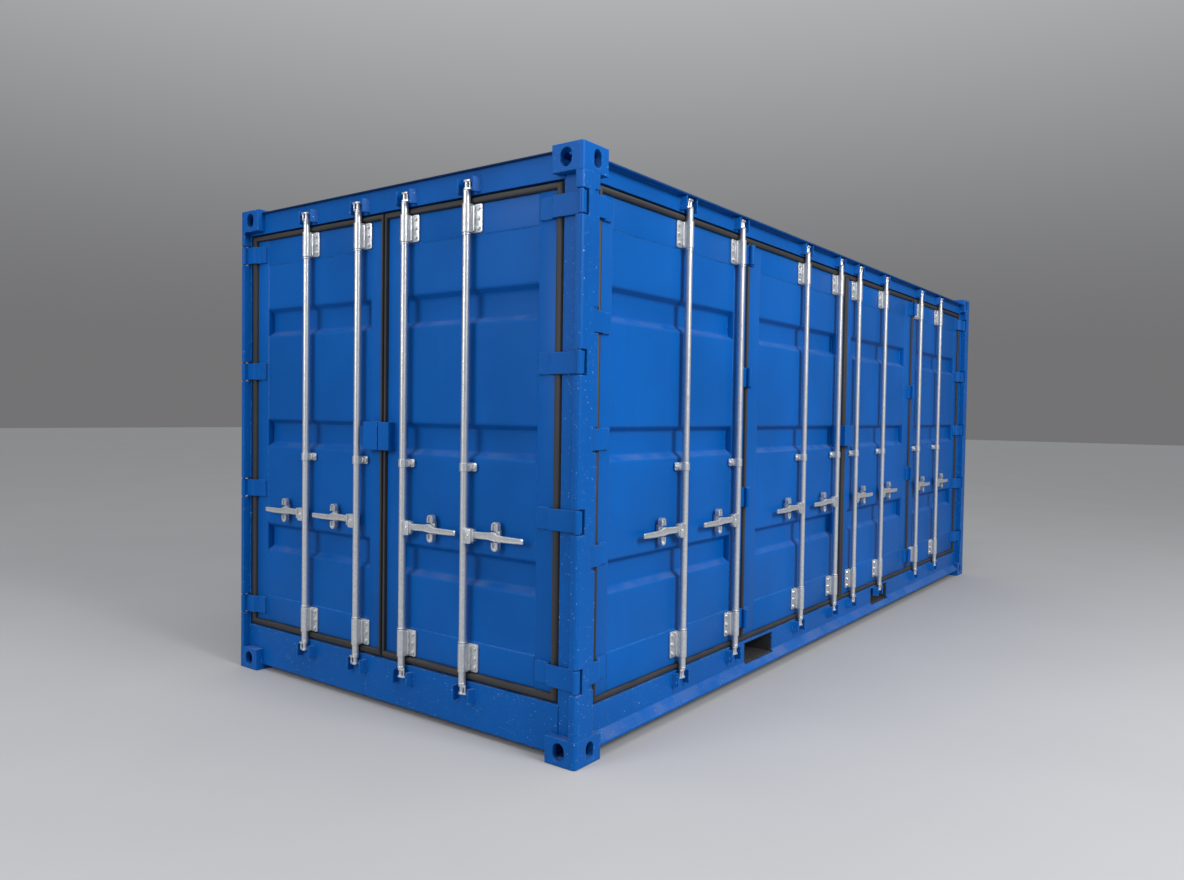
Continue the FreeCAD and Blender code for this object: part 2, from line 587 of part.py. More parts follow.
def sheets():
    half_long, half_wide = size("length_all") / 2, size("width_all") / 2
    post, skin, low = size("plain_post"), size("sheet_metal"), size("side_sill_top")
    wall_face = size("plain_face") + size("wall_step")
    far_start = size("stop_back") + size("stop_thick")
    far_waves = wave_points(-half_long + far_start, half_long - post, FAR_WAVES, size("wave_deep"))
    far_sheet = corrugated("far_wall_sheet", far_waves, skin,
                           lambda along, deep: Vector(along, half_wide - wall_face - deep, low),
                           Vector(0, 0, size("top_rail_under") - low))
    far_wall = cut("far_wall", far_sheet, casting_clearances("far_wall", "far"))
    rear_waves = wave_points(-half_wide + post, half_wide - post, REAR_WAVES, size("wave_deep"))
    rear_wall = corrugated("rear_wall", rear_waves, skin,
                           lambda along, deep: Vector(half_long - wall_face - deep, along, low),
                           Vector(0, 0, size("opening_top") - low))
    roof_edge, near_edge = size("header_deep"), size("set_back") + skin
    roof_waves = wave_points(-half_long + roof_edge, half_long - roof_edge, ROOF_WAVES, size("roof_wave"))
    roof = corrugated("roof_panel", roof_waves, skin,
                      lambda along, deep: Vector(along, -half_wide + near_edge, size("roof_top") - deep),
                      Vector(0, size("width_all") - near_edge - wall_face, 0))
    return [far_wall, rear_wall, roof]


def floor():
    inner = "plain_face + wall_step + wave_deep + sheet_metal + floor_gap"
    boards = box("floor_sheet", "-length_all/2 + floor_edge", f"length_all/2 - ({inner})",
                 "-width_all/2 + floor_edge", f"width_all/2 - ({inner})", "floor_under",
                 "floor_under + floor_thick")
    corner = box("floor_corner", "length_all/2 - plain_post - past", "length_all/2",
                 "width_all/2 - plain_post - past", "width_all/2", "floor_under - past",
                 "floor_under + floor_thick + past")
    return cut("floor_boards", boards, [corner])


def underframe():
    """Channels across the box under the floor, and the two forklift tunnels between them."""
    y0, y1 = "-width_all/2 + sill_deep", "width_all/2 - rail_wide"
    away = "pocket_wide/2 + member_from_pocket"
    stretches = [("-length_all/2 + post_side_stop + member_from_stop", f"pocket_left - ({away})"),
                 (f"pocket_left + {away}", f"pocket_right - ({away})"),
                 (f"pocket_right + {away}", "length_all/2 - post_side_stop - member_from_stop")]
    members = []
    for (start, end), count in zip(stretches, MEMBER_COUNTS):
        for number in range(count):
            middle = f"{start} + ({end} - ({start}))*{number}/{count - 1}"
            x0, x1 = f"{middle} - member_wide/2", f"{middle} + member_wide/2"
            z0, z1 = "floor_under - member_high", "floor_under"
            outer = box("member_bar", x0, x1, y0, y1, z0, z1)
            hollow = box("member_hollow", f"{x0} + member_plate", f"{x1} + past",
                         f"{y0} - past", f"{y1} + past", f"{z0} + member_plate", f"{z1} - member_plate")
            members.append(cut("cross_member", outer, [hollow]))
    for middle in ("pocket_left", "pocket_right"):
        x0, x1 = f"{middle} - pocket_wide/2", f"{middle} + pocket_wide/2"
        v0, v1 = "-width_all/2 + set_back + heavy_plate", "width_all/2 - plain_face - heavy_plate"
        outer = box("tunnel_bar", f"{x0} - tunnel_plate", f"{x1} + tunnel_plate", v0, v1,
                    "pocket_under - tunnel_plate", "pocket_top + tunnel_plate")
        bore = box("tunnel_bore", x0, x1, f"{v0} - past", f"{v1} + past", "pocket_under", "pocket_top")
        members.append(cut("fork_tunnel", outer, [bore]))
    return together("underframe", members)


# ---------------------------------------------------------------------------
# door leaves: a welded frame with a sheet of three pressed bands let into it
# ---------------------------------------------------------------------------

# for each leaf: face, near edge, far edge, underside, and the two ends of its pressed bands
LEAVES = {
    "near_leaf": ("end", "-width_all/2 + end_leaf_edge", "far_shift/2 - end_seam_half", "end_leaf_bottom",
                  "-width_all/2 + end_band_start", "far_shift/2 - end_band_seam"),
    "far_leaf": ("end", "far_shift/2 + end_seam_half", "width_all/2 - end_leaf_edge + far_shift",
                 "end_leaf_bottom", "far_shift/2 + end_band_seam", "width_all/2 - end_band_start + far_shift"),
    "side_leaf_1": ("side", "-length_all/2 + side_leaf_edge", "-fold_seam - fold_half", "side_leaf_bottom",
                    "-length_all/2 + side_band_start", "-fold_seam - outer_band_seam"),
    "side_leaf_2": ("side", "-fold_seam + fold_half", "-seam_half", "side_leaf_bottom",
                    "-fold_seam + inner_band_seam", "-centre_band"),
    "side_leaf_3": ("side", "seam_half", "fold_seam - fold_half", "side_leaf_bottom",
                    "centre_band", "fold_seam - inner_band_seam"),
    "side_leaf_4": ("side", "fold_seam + fold_half", "length_all/2 - side_leaf_edge", "side_leaf_bottom",
                    "fold_seam + outer_band_seam", "length_all/2 - side_band_start"),
}


def leaf(name):
    face, s0, s1, under, band0, band1 = LEAVES[name]
    outer = face_box(f"{name}_slab", face, s0, s1, "leaf_back", "leaf_back + leaf_thick", under, "leaf_top")
    window = face_box(f"{name}_window", face, band0, band1, "leaf_back - past", "leaf_back + leaf_thick + past",
                      "leaf_rail_over", "leaf_rail_under")
    frame = cut(f"{name}_frame", outer, [window])
    plain, pressed = "leaf_back + sheet_step", "leaf_back + sheet_step + band_deep"
    line = [(plain, "leaf_rail_over")]
    for band in ("band_lower", "band_middle", "band_upper"):
        line += [(plain, f"{band} - band_high/2"), (pressed, f"{band} - band_high/2 + band_slope"),
                 (pressed, f"{band} + band_high/2 - band_slope"), (plain, f"{band} + band_high/2")]
    line += [(plain, "leaf_rail_under")]
    outline = line + [(f"{depth} + sheet_metal", z) for depth, z in reversed(line)]
    wall = "-length_all/2" if face == "end" else "-width_all/2"
    plane = "XZ" if face == "end" else "YZ"
    panel = profile(f"{name}_panel", plane, [(f"{wall} + {depth}", z) for depth, z in outline], band0, band1)
    return fuse(name, [frame, panel])


def end_gasket(name):
    """The rubber seal round an end leaf."""
    _, s0, s1, under, _, _ = LEAVES[name]
    if name == "near_leaf":
        outer0, outer1 = "-width_all/2 + post_end_return + gasket_gap", "far_shift/2 - gasket_seam_gap"
    else:
        outer0 = "far_shift/2 + gasket_seam_gap"
        outer1 = "width_all/2 - post_end_return + far_shift - gasket_gap"
    ring = face_box(f"{name}_seal", "end", outer0, outer1, "gasket_front", "gasket_front + gasket_deep",
                    "end_sill_top + gasket_gap", "opening_top - gasket_gap")
    inside = face_box(f"{name}_seal_inside", "end", s0, s1, "gasket_front - past",
                      "gasket_front + gasket_deep + past",
                      under, "leaf_top")
    return cut(f"{name}_gasket", ring, [inside])


def side_gaskets():
    """One seal round the four folding leaves and down their three seams."""
    ring = face_box("side_seal", "side", "-length_all/2 + post_side_return + gasket_gap",
                    "length_all/2 - post_side_return - gasket_gap", "gasket_front",
                    "gasket_front + gasket_deep",
                    "side_sill_top + gasket_gap", "opening_top - gasket_gap")
    holes = []
    for name, (face, s0, s1, under, _, _) in LEAVES.items():
        if face == "side":
            holes.append(face_box(f"{name}_seal_inside", "side", s0, s1, "gasket_front - past",
                                  "gasket_front + gasket_deep + past", under, "leaf_top"))
    for seam in ("-fold_seam", "fold_seam"):
        for number in range(1, len(FOLD_HINGES) + 1):
            holes.append(face_box("fold_hinge_gap", "side", f"{seam} - fold_half - past",
                                  f"{seam} + fold_half + past",
                                  "gasket_front - past", "leaf_back",
                                  f"fold_hinge_{number} - fold_hinge_high/2 - past",
                                  f"fold_hinge_{number} + fold_hinge_high/2 + past"))
    holes.append(face_box("lock_box_gap", "side", "-seam_half", "seam_half", "gasket_front - past", "leaf_back",
                          "box_under - past", "box_under + box_high + past"))
    return cut("side_gaskets", ring, holes)


# ---------------------------------------------------------------------------
# hinges
# ---------------------------------------------------------------------------

def end_hinges(name, side_sign):
    """Strap hinges of an end leaf: knuckle and pin in the post's notch, strap down onto the leaf."""
    wall = {"-": "-width_all/2 + ({})", "+": "width_all/2 - ({})"}[side_sign]
    shift = {"-": "0", "+": "far_shift"}[side_sign]

    def at(depth, across):
        return (f"-length_all/2 + {depth}", wall.format(across))

    joggle, land, end = f"strap_joggle - {shift}", f"strap_land - {shift}", f"strap_end - {shift}"
    strap = [at("strap_front", "pin_in - strap_tail"), at("strap_front", joggle),
             at("leaf_back - strap_thick", land), at("leaf_back - strap_thick", end),
             at("leaf_back", end), at("leaf_back", f"{land} - strap_bend"),
             at("strap_front + strap_thick", f"{joggle} - strap_bend"),
             at("strap_front + strap_thick", "pin_in - strap_tail")]
    hinges = []
    for number in range(1, len(END_HINGES) + 1):
        height = f"end_hinge_{number}"
        low, top = f"{height} - strap_high/2", f"{height} + strap_high/2"
        x, y = at("pin_back", "pin_in")
        knuckle = upright(f"{name}_knuckle", x, y, f"{height} - knuckle_high/2", f"{height} + knuckle_high/2",
                          "knuckle_radius")
        pin = upright(f"{name}_pin", x, y, f"{height} - notch_high/2 - pin_extra",
                      f"{height} + notch_high/2 + pin_extra", "pin_radius")
        sides = sorted([wall.format("pin_in - strap_tail"), wall.format("pin_in + strap_tail")], key=evaluate)
        tie = box(f"{name}_tie", x, "-length_all/2 + strap_front + strap_thick", *sides, low, top)
        blade = profile(f"{name}_strap", "XY", strap, low, top)
        hinges.append(fuse(f"{name}_hinge", [knuckle, pin, tie, blade]))
    return together(f"{name}_hinges", hinges)


def side_hinges():
    """Post hinges at both ends of the folding doors and knuckle hinges down the two folds."""
    hinges = []
    for sign in ("-", "+"):
        wall = {"-": "-length_all/2 + ({})", "+": "length_all/2 - ({})"}[sign]

        def at(along, depth):
            return (wall.format(along), f"-width_all/2 + {depth}")

        bend, landing = "side_leaf_edge + side_joggle", "side_leaf_edge + side_joggle + side_joggle_long"
        strap = [at("side_pin_in", "strap_front"), at(bend, "strap_front"),
                 at(landing, "leaf_back - strap_thick"), at("side_blade_end", "leaf_back - strap_thick"),
                 at("side_blade_end", "leaf_back"), at(f"{landing} - side_bend", "leaf_back"),
                 at(f"{bend} - side_bend", "strap_front + strap_thick"),
                 at("side_pin_in", "strap_front + strap_thick")]
        for number in range(1, len(POST_HINGES) + 1):
            height = f"post_hinge_{number}"
            x, y = at("side_pin_in", "side_pin_back")
            knuckle = upright("post_knuckle", x, y, f"{height} - knuckle_high/2", f"{height} + knuckle_high/2",
                              "knuckle_radius")
            blade = profile("post_strap", "XY", strap, f"{height} - strap_high/2", f"{height} + strap_high/2")
            hinges.append(fuse("post_hinge_piece", [knuckle, blade]))
        for number in range(1, len(FOLD_HINGES) + 1):
            height = f"fold_hinge_{number}"
            low, top = f"{height} - fold_hinge_high/2", f"{height} + fold_hinge_high/2"
            seam = f"{sign}fold_seam" if sign == "-" else "fold_seam"
            barrel = face_upright("fold_knuckle", "side", seam, "fold_pin_back", low, top,
                                  "fold_knuckle_radius")
            wings = face_box("fold_wings", "side", f"{seam} - fold_blade", f"{seam} + fold_blade",
                             "leaf_back - strap_thick", "leaf_back", low, top)
            web = face_box("fold_web", "side", f"{seam} - fold_half", f"{seam} + fold_half", "fold_pin_back",
                           "leaf_back - fold_web_in", low, top)
            hinges.append(fuse("fold_hinge_piece", [barrel, wings, web]))
    return together("side_hinges", hinges)


# ---------------------------------------------------------------------------
# lock gear: rods with cams and handles, bearing brackets, catches and keepers
# ---------------------------------------------------------------------------

# each rod: its face, its place along the face and the way its handle points
RODS = {}
for number, way in enumerate((1, 1, -1, -1), 1):
    RODS[f"end_rod_{number}"] = ("end", f"end_rod_place_{number}", way)
for number in range(1, len(SIDE_RODS) + 1):
    RODS[f"side_rod_{number}"] = ("side", f"side_rod_place_{number}", -1 if number <= 4 else 1)


def lock_rod(name):
    face, place, way = RODS[name]
    pieces = [face_upright(f"{name}_tube", face, place, "rod_back", "rod_low + cam_high", "rod_high - cam_high",
                           "rod_radius")]
    for low in ("rod_low", "rod_high - cam_high"):
        pieces.append(face_upright(f"{name}_neck", face, place, "rod_back", low, f"{low} + cam_high",
                                   "cam_neck"))
        for plate in (low, f"{low} + cam_high - cam_plate"):
            pieces.append(face_upright(f"{name}_cam_plate", face, place, "rod_back", plate,
                                       f"{plate} + cam_plate", "cam_radius"))
        pieces.append(face_slab(f"{name}_lug", face, place, f"{place} + {way}*cam_lug",
                                "rod_back - cam_lug_half",
                                "rod_back + cam_lug_half", f"{low} + cam_plate/2",
                                f"{low} + cam_high - cam_plate/2"))
    for collar in ("sleeve_low_under + sleeve_high + collar_gap",
                   "sleeve_top_under - collar_gap - collar_high"):
        pieces.append(face_upright(f"{name}_collar", face, place, "rod_back", collar, f"{collar} + collar_high",
                                   "collar_radius"))
    pieces.append(face_slab(f"{name}_hub", face, f"{place} + {way}*hub_start",
                            f"{place} + {way}*(hub_wide + 2*hub_start)", "rod_back - handle_thick",
                            "rod_back + handle_thick - hub_step", "hub_mid - hub_high/2",
                            "hub_mid + hub_high/2"))
    middle = "hub_mid + handle_rise"
    near, far = f"{place} + {way}*hub_wide", f"{place} + {way}*handle_long"
    outline = [(near, f"{middle} + handle_high/2"), (far, f"{middle} + handle_high/2 - handle_taper"),
               (far, f"{middle} - handle_high/2"), (near, f"{middle} - handle_high/2")]
    plane, wall = ("YZ", "-length_all/2") if face == "end" else ("XZ", "-width_all/2")
    pieces.append(profile(f"{name}_handle", plane, outline, f"{wall} + rod_back - handle_thick/2",
                          f"{wall} + rod_back + handle_thick/2"))
    return fuse(name, pieces)


def bearing(name, face, place, low, high, plate_wide):
    """A sleeve round the rod on a foot that reaches back to the leaf, with a bolted plate beside it."""
    top = f"{low} + {high}"
    foot = face_box(f"{name}_foot", face, f"{place} - foot_half", f"{place} + foot_half", "rod_back",
                    "leaf_back", low, top)
    sleeve = face_upright(f"{name}_sleeve", face, place, "rod_back", low, top, "sleeve_half")
    plate = face_box(f"{name}_plate", face, f"{place} - sleeve_half - {plate_wide}",
                     f"{place} - sleeve_half + plate_lap",
                     "leaf_back - bolt_plate_thick", "leaf_back", low, top)
    bore = face_upright(f"{name}_bore", face, place, "rod_back", f"{low} - past", f"{top} + past", "rod_bore")
    return cut(f"{name}_bearing", fuse(f"{name}_block", [foot, sleeve, plate]), [bore])


def handle_catch(name, face, place, way):
    """An upright plate with clipped corners on a short stem behind the handle, with a lobe above and below it."""
    middle = f"{place} + {way}*catch_from_rod"
    clipped = "catch_high/2 - catch_wide/4"
    steps = [("-", "catch_wide/2", "-", clipped), ("-", "catch_wide/4", "-", "catch_high/2"),
             ("+", "catch_wide/4", "-", "catch_high/2"), ("+", "catch_wide/2", "-", clipped),
             ("+", "catch_wide/2", "+", clipped), ("+", "catch_wide/4", "+", "catch_high/2"),
             ("-", "catch_wide/4", "+", "catch_high/2"), ("-", "catch_wide/2", "+", clipped)]
    outline = [(f"{middle} {along} {wide}", f"catch_mid {up} ({high})") for along, wide, up, high in steps]
    plane, wall = ("YZ", "-length_all/2") if face == "end" else ("XZ", "-width_all/2")
    plate = profile(f"{name}_catch_plate", plane, outline, f"{wall} + catch_front",
                    f"{wall} + catch_front + plate")
    stem = face_box(f"{name}_catch_stem", face, f"{middle} - stem_half_wide", f"{middle} + stem_half_wide",
                    "catch_front + plate/2", "leaf_back", "catch_mid - stem_half_high",
                    "catch_mid + stem_half_high")
    lobes = [face_box(f"{name}_catch_lobe", face, f"{middle} - lobe_half_wide", f"{middle} + lobe_half_wide",
                      "lobe_front", "catch_front + plate/2", low, top)
             for low, top in (("catch_mid - catch_high/2 + plate", "catch_mid - lobe_in"),
                              ("catch_mid + lobe_in", "catch_mid + catch_high/2 - plate"))]
    return fuse(f"{name}_catch", [plate, stem] + lobes)


def lock_fittings(name, rods):
    pieces = []
    for rod in rods:
        face, place, way = RODS[rod]
        pieces.append(bearing(f"{rod}_low", face, place, "sleeve_low_under", "sleeve_high", "bolt_plate_wide"))
        pieces.append(bearing(f"{rod}_top", face, place, "sleeve_top_under", "sleeve_high", "bolt_plate_wide"))
        pieces.append(bearing(f"{rod}_guide", face, place, "guide_mid - guide_high/2", "guide_high",
                              "guide_plate_wide"))
        pieces.append(handle_catch(rod, face, place, way))
    return together(name, pieces)


def keepers(name, rods):
    """Two ears beside each rod end, open to the front so that the cam can swing out between them."""
    ears = []
    for rod in rods:
        face, place, _ = RODS[rod]
        for low in ("keeper_low_under", "keeper_top_under"):
            for way in ("-", "+"):
                inner = f"{place} {way} keeper_gap"
                front = f"{place} {way} (keeper_gap + keeper_thick)"
                foot = f"{place} {way} (keeper_gap + keeper_foot)"
                corners = [("keeper_front", inner), ("keeper_front", front), ("set_back", foot),
                           ("set_back", inner)]
                if face == "end":
                    outline = [(f"-length_all/2 + {depth}", s) for depth, s in corners]
                else:
                    outline = [(s, f"-width_all/2 + {depth}") for depth, s in corners]
                ears.append(profile(f"{rod}_ear", "XY", outline, low, f"{low} + keeper_high"))
    return together(name, ears)


# ---------------------------------------------------------------------------
# lock boxes over the centre seams
# ---------------------------------------------------------------------------

def lock_hood(name, face, s0, s1, seam, half):
    """A box open at the bottom and at the back, cleared over the gasket in the seam.

    seam is the seam's middle and half is half its width.
    """
    shell = face_box(f"{name}_shell", face, s0, s1, "box_front", "leaf_back", "box_under",
                     "box_under + box_high")
    hollow = face_box(f"{name}_hollow", face, f"{s0} + box_wall", f"{s1} - box_wall", "box_front + box_wall",
                      "leaf_back + past", "box_under - past", "box_under + box_high - box_wall")
    passage = face_box(f"{name}_passage", face, f"{seam} - {half} - box_clear", f"{seam} + {half} + box_clear",
                       "gasket_front - box_clear", "leaf_back + past",
                       "box_under - past", "box_under + box_high + past")
    return cut(name, shell, [hollow, passage])


def build():
    nodes = corner_castings() + corner_posts()
    nodes += [door_header(), door_sill(), side_header(), side_sill()] + plain_rails() + sheets()
    nodes += [floor(), underframe()]
    nodes += [leaf(name) for name in LEAVES]
    nodes += [end_gasket("near_leaf"), end_gasket("far_leaf"), side_gaskets()]
    nodes += [end_hinges("near_leaf", "-"), end_hinges("far_leaf", "+"), side_hinges()]
    end_rods = [name for name in RODS if name.startswith("end")]
    side_rods = [name for name in RODS if name.startswith("side")]
    nodes += [lock_rod(name) for name in RODS]
    nodes += [lock_fittings("far_leaf_fittings", end_rods[:2]),
              lock_fittings("near_leaf_fittings", end_rods[2:]),
              lock_fittings("side_leaf_fittings", side_rods)]
    nodes += [keepers("end_keepers", end_rods), keepers("side_keepers", side_rods)]
    end_seam, end_half = "far_shift/2", "end_seam_half"
    nodes += [lock_hood("far_lock_box", "end", f"{end_seam} + box_gap", "box_far", end_seam, end_half),
              lock_hood("near_lock_tab", "end", "-box_near", f"{end_seam} - box_gap", end_seam, end_half),
              lock_hood("side_lock_box", "side", "-side_box_low", "side_box_high", "0", "seam_half")]
    return nodes


def export(nodes):
    """Check every object and every node's shape, then write one STEP file a node."""
    doc.recompute()
    broken = [thing.Name for thing in doc.Objects if {"Invalid", "Error"} & set(thing.State)]
    if broken:
        raise RuntimeError(f"objects failed to build: {broken}")
    os.makedirs("parts", exist_ok=True)
    for node in nodes:
        shape = node.Shape
        if shape.isNull() or not shape.isValid() or shape.Volume <= 0:
            raise RuntimeError(f"{node.Label} has no valid shape")
        shape.exportStep(f"parts/{node.Label}.step")
        print(f"{node.Label}: {len(shape.Solids)} solids, {shape.Volume / 1e6:.1f} litres")


export(build())
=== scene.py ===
"""Finish of a 20 ft side-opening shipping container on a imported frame, whose origin is the middle of its
footprint: paint, galvanised lock gear, rubber seals, pressed doors, corrugated sheets, floor boards and welds."""

import json
import math

import bmesh
import bpy
import numpy as np
from bpy.props import FloatProperty, FloatVectorProperty, PointerProperty
from mathutils import Matrix, Vector


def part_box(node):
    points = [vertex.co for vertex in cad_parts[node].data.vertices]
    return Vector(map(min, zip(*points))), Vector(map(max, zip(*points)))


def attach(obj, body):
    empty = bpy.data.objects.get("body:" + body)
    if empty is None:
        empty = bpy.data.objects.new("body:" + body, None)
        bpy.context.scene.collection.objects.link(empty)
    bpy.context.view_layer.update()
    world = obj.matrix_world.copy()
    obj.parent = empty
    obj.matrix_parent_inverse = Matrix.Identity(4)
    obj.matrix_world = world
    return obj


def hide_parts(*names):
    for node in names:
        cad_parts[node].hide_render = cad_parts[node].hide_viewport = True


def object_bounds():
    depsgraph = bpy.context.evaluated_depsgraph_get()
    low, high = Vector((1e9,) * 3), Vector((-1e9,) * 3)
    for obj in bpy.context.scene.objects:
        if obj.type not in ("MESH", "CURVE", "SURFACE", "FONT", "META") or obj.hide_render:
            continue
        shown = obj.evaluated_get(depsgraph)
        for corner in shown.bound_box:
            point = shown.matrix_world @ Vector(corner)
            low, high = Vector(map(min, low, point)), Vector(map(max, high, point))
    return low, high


bl_info = {
    "name": "Side-Opening Container Finish",
    "version": (1, 0, 0),
    "blender": (4, 5, 0),
    "location": "View3D > Sidebar > Container",
    "description": "Builds the doors, seals, lock gear, sheets and finishes of a shipping container",
    "category": "Object",
}

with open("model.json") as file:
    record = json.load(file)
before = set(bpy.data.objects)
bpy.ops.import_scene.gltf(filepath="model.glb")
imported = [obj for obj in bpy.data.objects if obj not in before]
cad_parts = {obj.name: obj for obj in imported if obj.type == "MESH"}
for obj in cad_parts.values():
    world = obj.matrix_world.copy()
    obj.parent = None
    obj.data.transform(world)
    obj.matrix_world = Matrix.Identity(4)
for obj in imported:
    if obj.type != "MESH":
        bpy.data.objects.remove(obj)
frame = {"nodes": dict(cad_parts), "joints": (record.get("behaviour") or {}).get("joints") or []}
CAD_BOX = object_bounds()
NODES = frame["nodes"]
LENGTH_HALF, WIDTH_HALF, HEIGHT = CAD_BOX[1]
HINGES = {joint["name"]: joint for joint in frame["joints"]}


# ---------------------------------------------------------------------------
# sizes and colours a user would change
# ---------------------------------------------------------------------------

def metres(name, description, default):
    return FloatProperty(name=name, description=description, default=default, min=0.0, subtype="DISTANCE",
                         unit="LENGTH", precision=4)


def watts(name, description, default):
    return FloatProperty(name=name, description=description, default=default, min=0.0, subtype="POWER",
                         unit="POWER")


def share(name, description, default):
    return FloatProperty(name=name, description=description, default=default, min=0.0, max=1.0,
                         subtype="FACTOR")


def colour(name, description, default):
    return FloatVectorProperty(name=name, description=description, default=default, size=3, min=0.0, max=1.0,
                               subtype="COLOR")


class PaintSettings(bpy.types.PropertyGroup):
    """Blue container paint."""
    blue: colour("Blue", "Colour of the sound paint", (0.0005, 0.073, 0.30))
    worn_blue: colour("Worn blue", "Colour of the paint rubbed thin along edges", (0.035, 0.20, 0.58))
    dust: colour("Dust", "Colour of the dust on faces that look up", (0.26, 0.27, 0.28))
    # The lip colour below is painted shade: a near-black navy that stands for the shade along the headers' top
    # lips.
    painted_lip_shade: colour("Painted_lip_shade", "Colour of the grime along the top lips of the headers", (0.004, 0.012, 0.035))
    primer: colour("Primer", "Colour that shows where the paint is chipped", (0.55, 0.68, 0.82))
    gloss: share("Roughness", "Roughness of the sound paint", 0.42)
    wear_radius: metres("Edge radius", "How far round an edge the wear and the rounding reach", 0.006)


class SteelSettings(bpy.types.PropertyGroup):
    """Hot-dip galvanised steel of the lock gear."""
    zinc: colour("Zinc", "Colour of the galvanised steel", (0.62, 0.64, 0.66))
    spangle: metres("Spangle", "Size of the zinc's crystal flowers", 0.011)
    roughness: share("Roughness", "Roughness of the zinc", 0.36)


class RubberSettings(bpy.types.PropertyGroup):
    """Door seals."""
    rubber: colour("Rubber", "Colour of the weathered rubber", (0.012, 0.012, 0.014))
    dusty: colour("Dusty rubber", "Colour of the rubber where dust has settled", (0.055, 0.050, 0.048))


class WoodSettings(bpy.types.PropertyGroup):
    """Floor boards."""
    light_wood: colour("Light wood", "Colour of the plywood's early wood", (0.30, 0.155, 0.075))
    dark_wood: colour("Dark wood", "Colour of the plywood's late wood", (0.14, 0.062, 0.028))


class PressingSettings(bpy.types.PropertyGroup):
    """Pressed and rolled sheets."""
    sheet: metres("Sheet", "Thickness of the steel sheet", 0.002)
    crease: metres("Crease", "How far a crease's rounding reaches along each side", 0.010)
    step: metres("Step", "How far the door sheet stands back from its frame", 0.003)
    ripple: metres("Ripple", "Depth of the slow ripples that welding leaves in the door sheets", 0.0011)
    weld: metres("Weld", "Radius of a weld bead", 0.0035)


class StageSettings(bpy.types.PropertyGroup):
    """Floor, light and camera."""
    floor: colour("Floor", "Colour of the plain floor", (0.37, 0.37, 0.375))
    key: watts("Key", "Power of the large lamp in front", 900.0)
    fill: watts("Fill", "Power of the lamp on the door end's side", 290.0)
    over: watts("Over", "Power of the lamp above the near corner", 150.0)


class ContainerSettings(bpy.types.PropertyGroup):
    """Everything the operators read."""
    paint: PointerProperty(type=PaintSettings)
    steel: PointerProperty(type=SteelSettings)
    rubber: PointerProperty(type=RubberSettings)
    wood: PointerProperty(type=WoodSettings)
    pressing: PointerProperty(type=PressingSettings)
    stage: PointerProperty(type=StageSettings)


# ---------------------------------------------------------------------------
# places: each face has its own run (s), depth inwards (d) and height or run (h)
# ---------------------------------------------------------------------------

def on_end(points):
    """(s, d, h) on the door end: s is Y, d runs inwards from the end face, h is Z."""
    return np.stack([points[:, 1] - LENGTH_HALF, points[:, 0], points[:, 2]], 1)


def on_side(points):
    """(s, d, h) on the folding-door side: s is X, d runs inwards from the side face, h is Z."""
    return np.stack([points[:, 0], points[:, 1] - WIDTH_HALF, points[:, 2]], 1)


def on_far(points):
    """(s, d, h) on the plain side: s is X, d runs inwards, h is Z."""
    return np.stack([points[:, 0], WIDTH_HALF - points[:, 1], points[:, 2]], 1)


def on_rear(points):
    """(s, d, h) on the rear end: s is Y, d runs inwards, h is Z."""
    return np.stack([LENGTH_HALF - points[:, 1], points[:, 0], points[:, 2]], 1)


def on_top(points):
    """(s, d, h) on the roof: s is X, d runs down from the top of the castings, h is Y."""
    return np.stack([points[:, 0], points[:, 2], HEIGHT - points[:, 1]], 1)


def in_row(points):
    return points


FACES = {"end": on_end, "side": on_side, "far": on_far, "rear": on_rear, "top": on_top, "row": in_row}


def span(node, face):
    """A node's box as ((s low, s high), (d low, d high), (z low, z high)) on the end or the side."""
    low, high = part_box(node)
    if face == "end":
        return (low.y, high.y), (low.x + LENGTH_HALF, high.x + LENGTH_HALF), (low.z, high.z)
    return (low.x, high.x), (low.y + WIDTH_HALF, high.y + WIDTH_HALF), (low.z, high.z)


# ---------------------------------------------------------------------------
# surfaces worked out on grids
# ---------------------------------------------------------------------------

def grid_faces(rows, columns, wrap_rows=False, wrap_columns=False):
    """Every cell of a rows by columns grid as the numbers of its four corners."""
    row = np.arange(rows if wrap_rows else rows - 1)
    column = np.arange(columns if wrap_columns else columns - 1)
    i, j = np.meshgrid(row, column, indexing="ij")
    k, n = (i + 1) % rows, (j + 1) % columns
    return np.stack([i * columns + j, i * columns + n, k * columns + n, k * columns + j], -1).reshape(-1, 4)


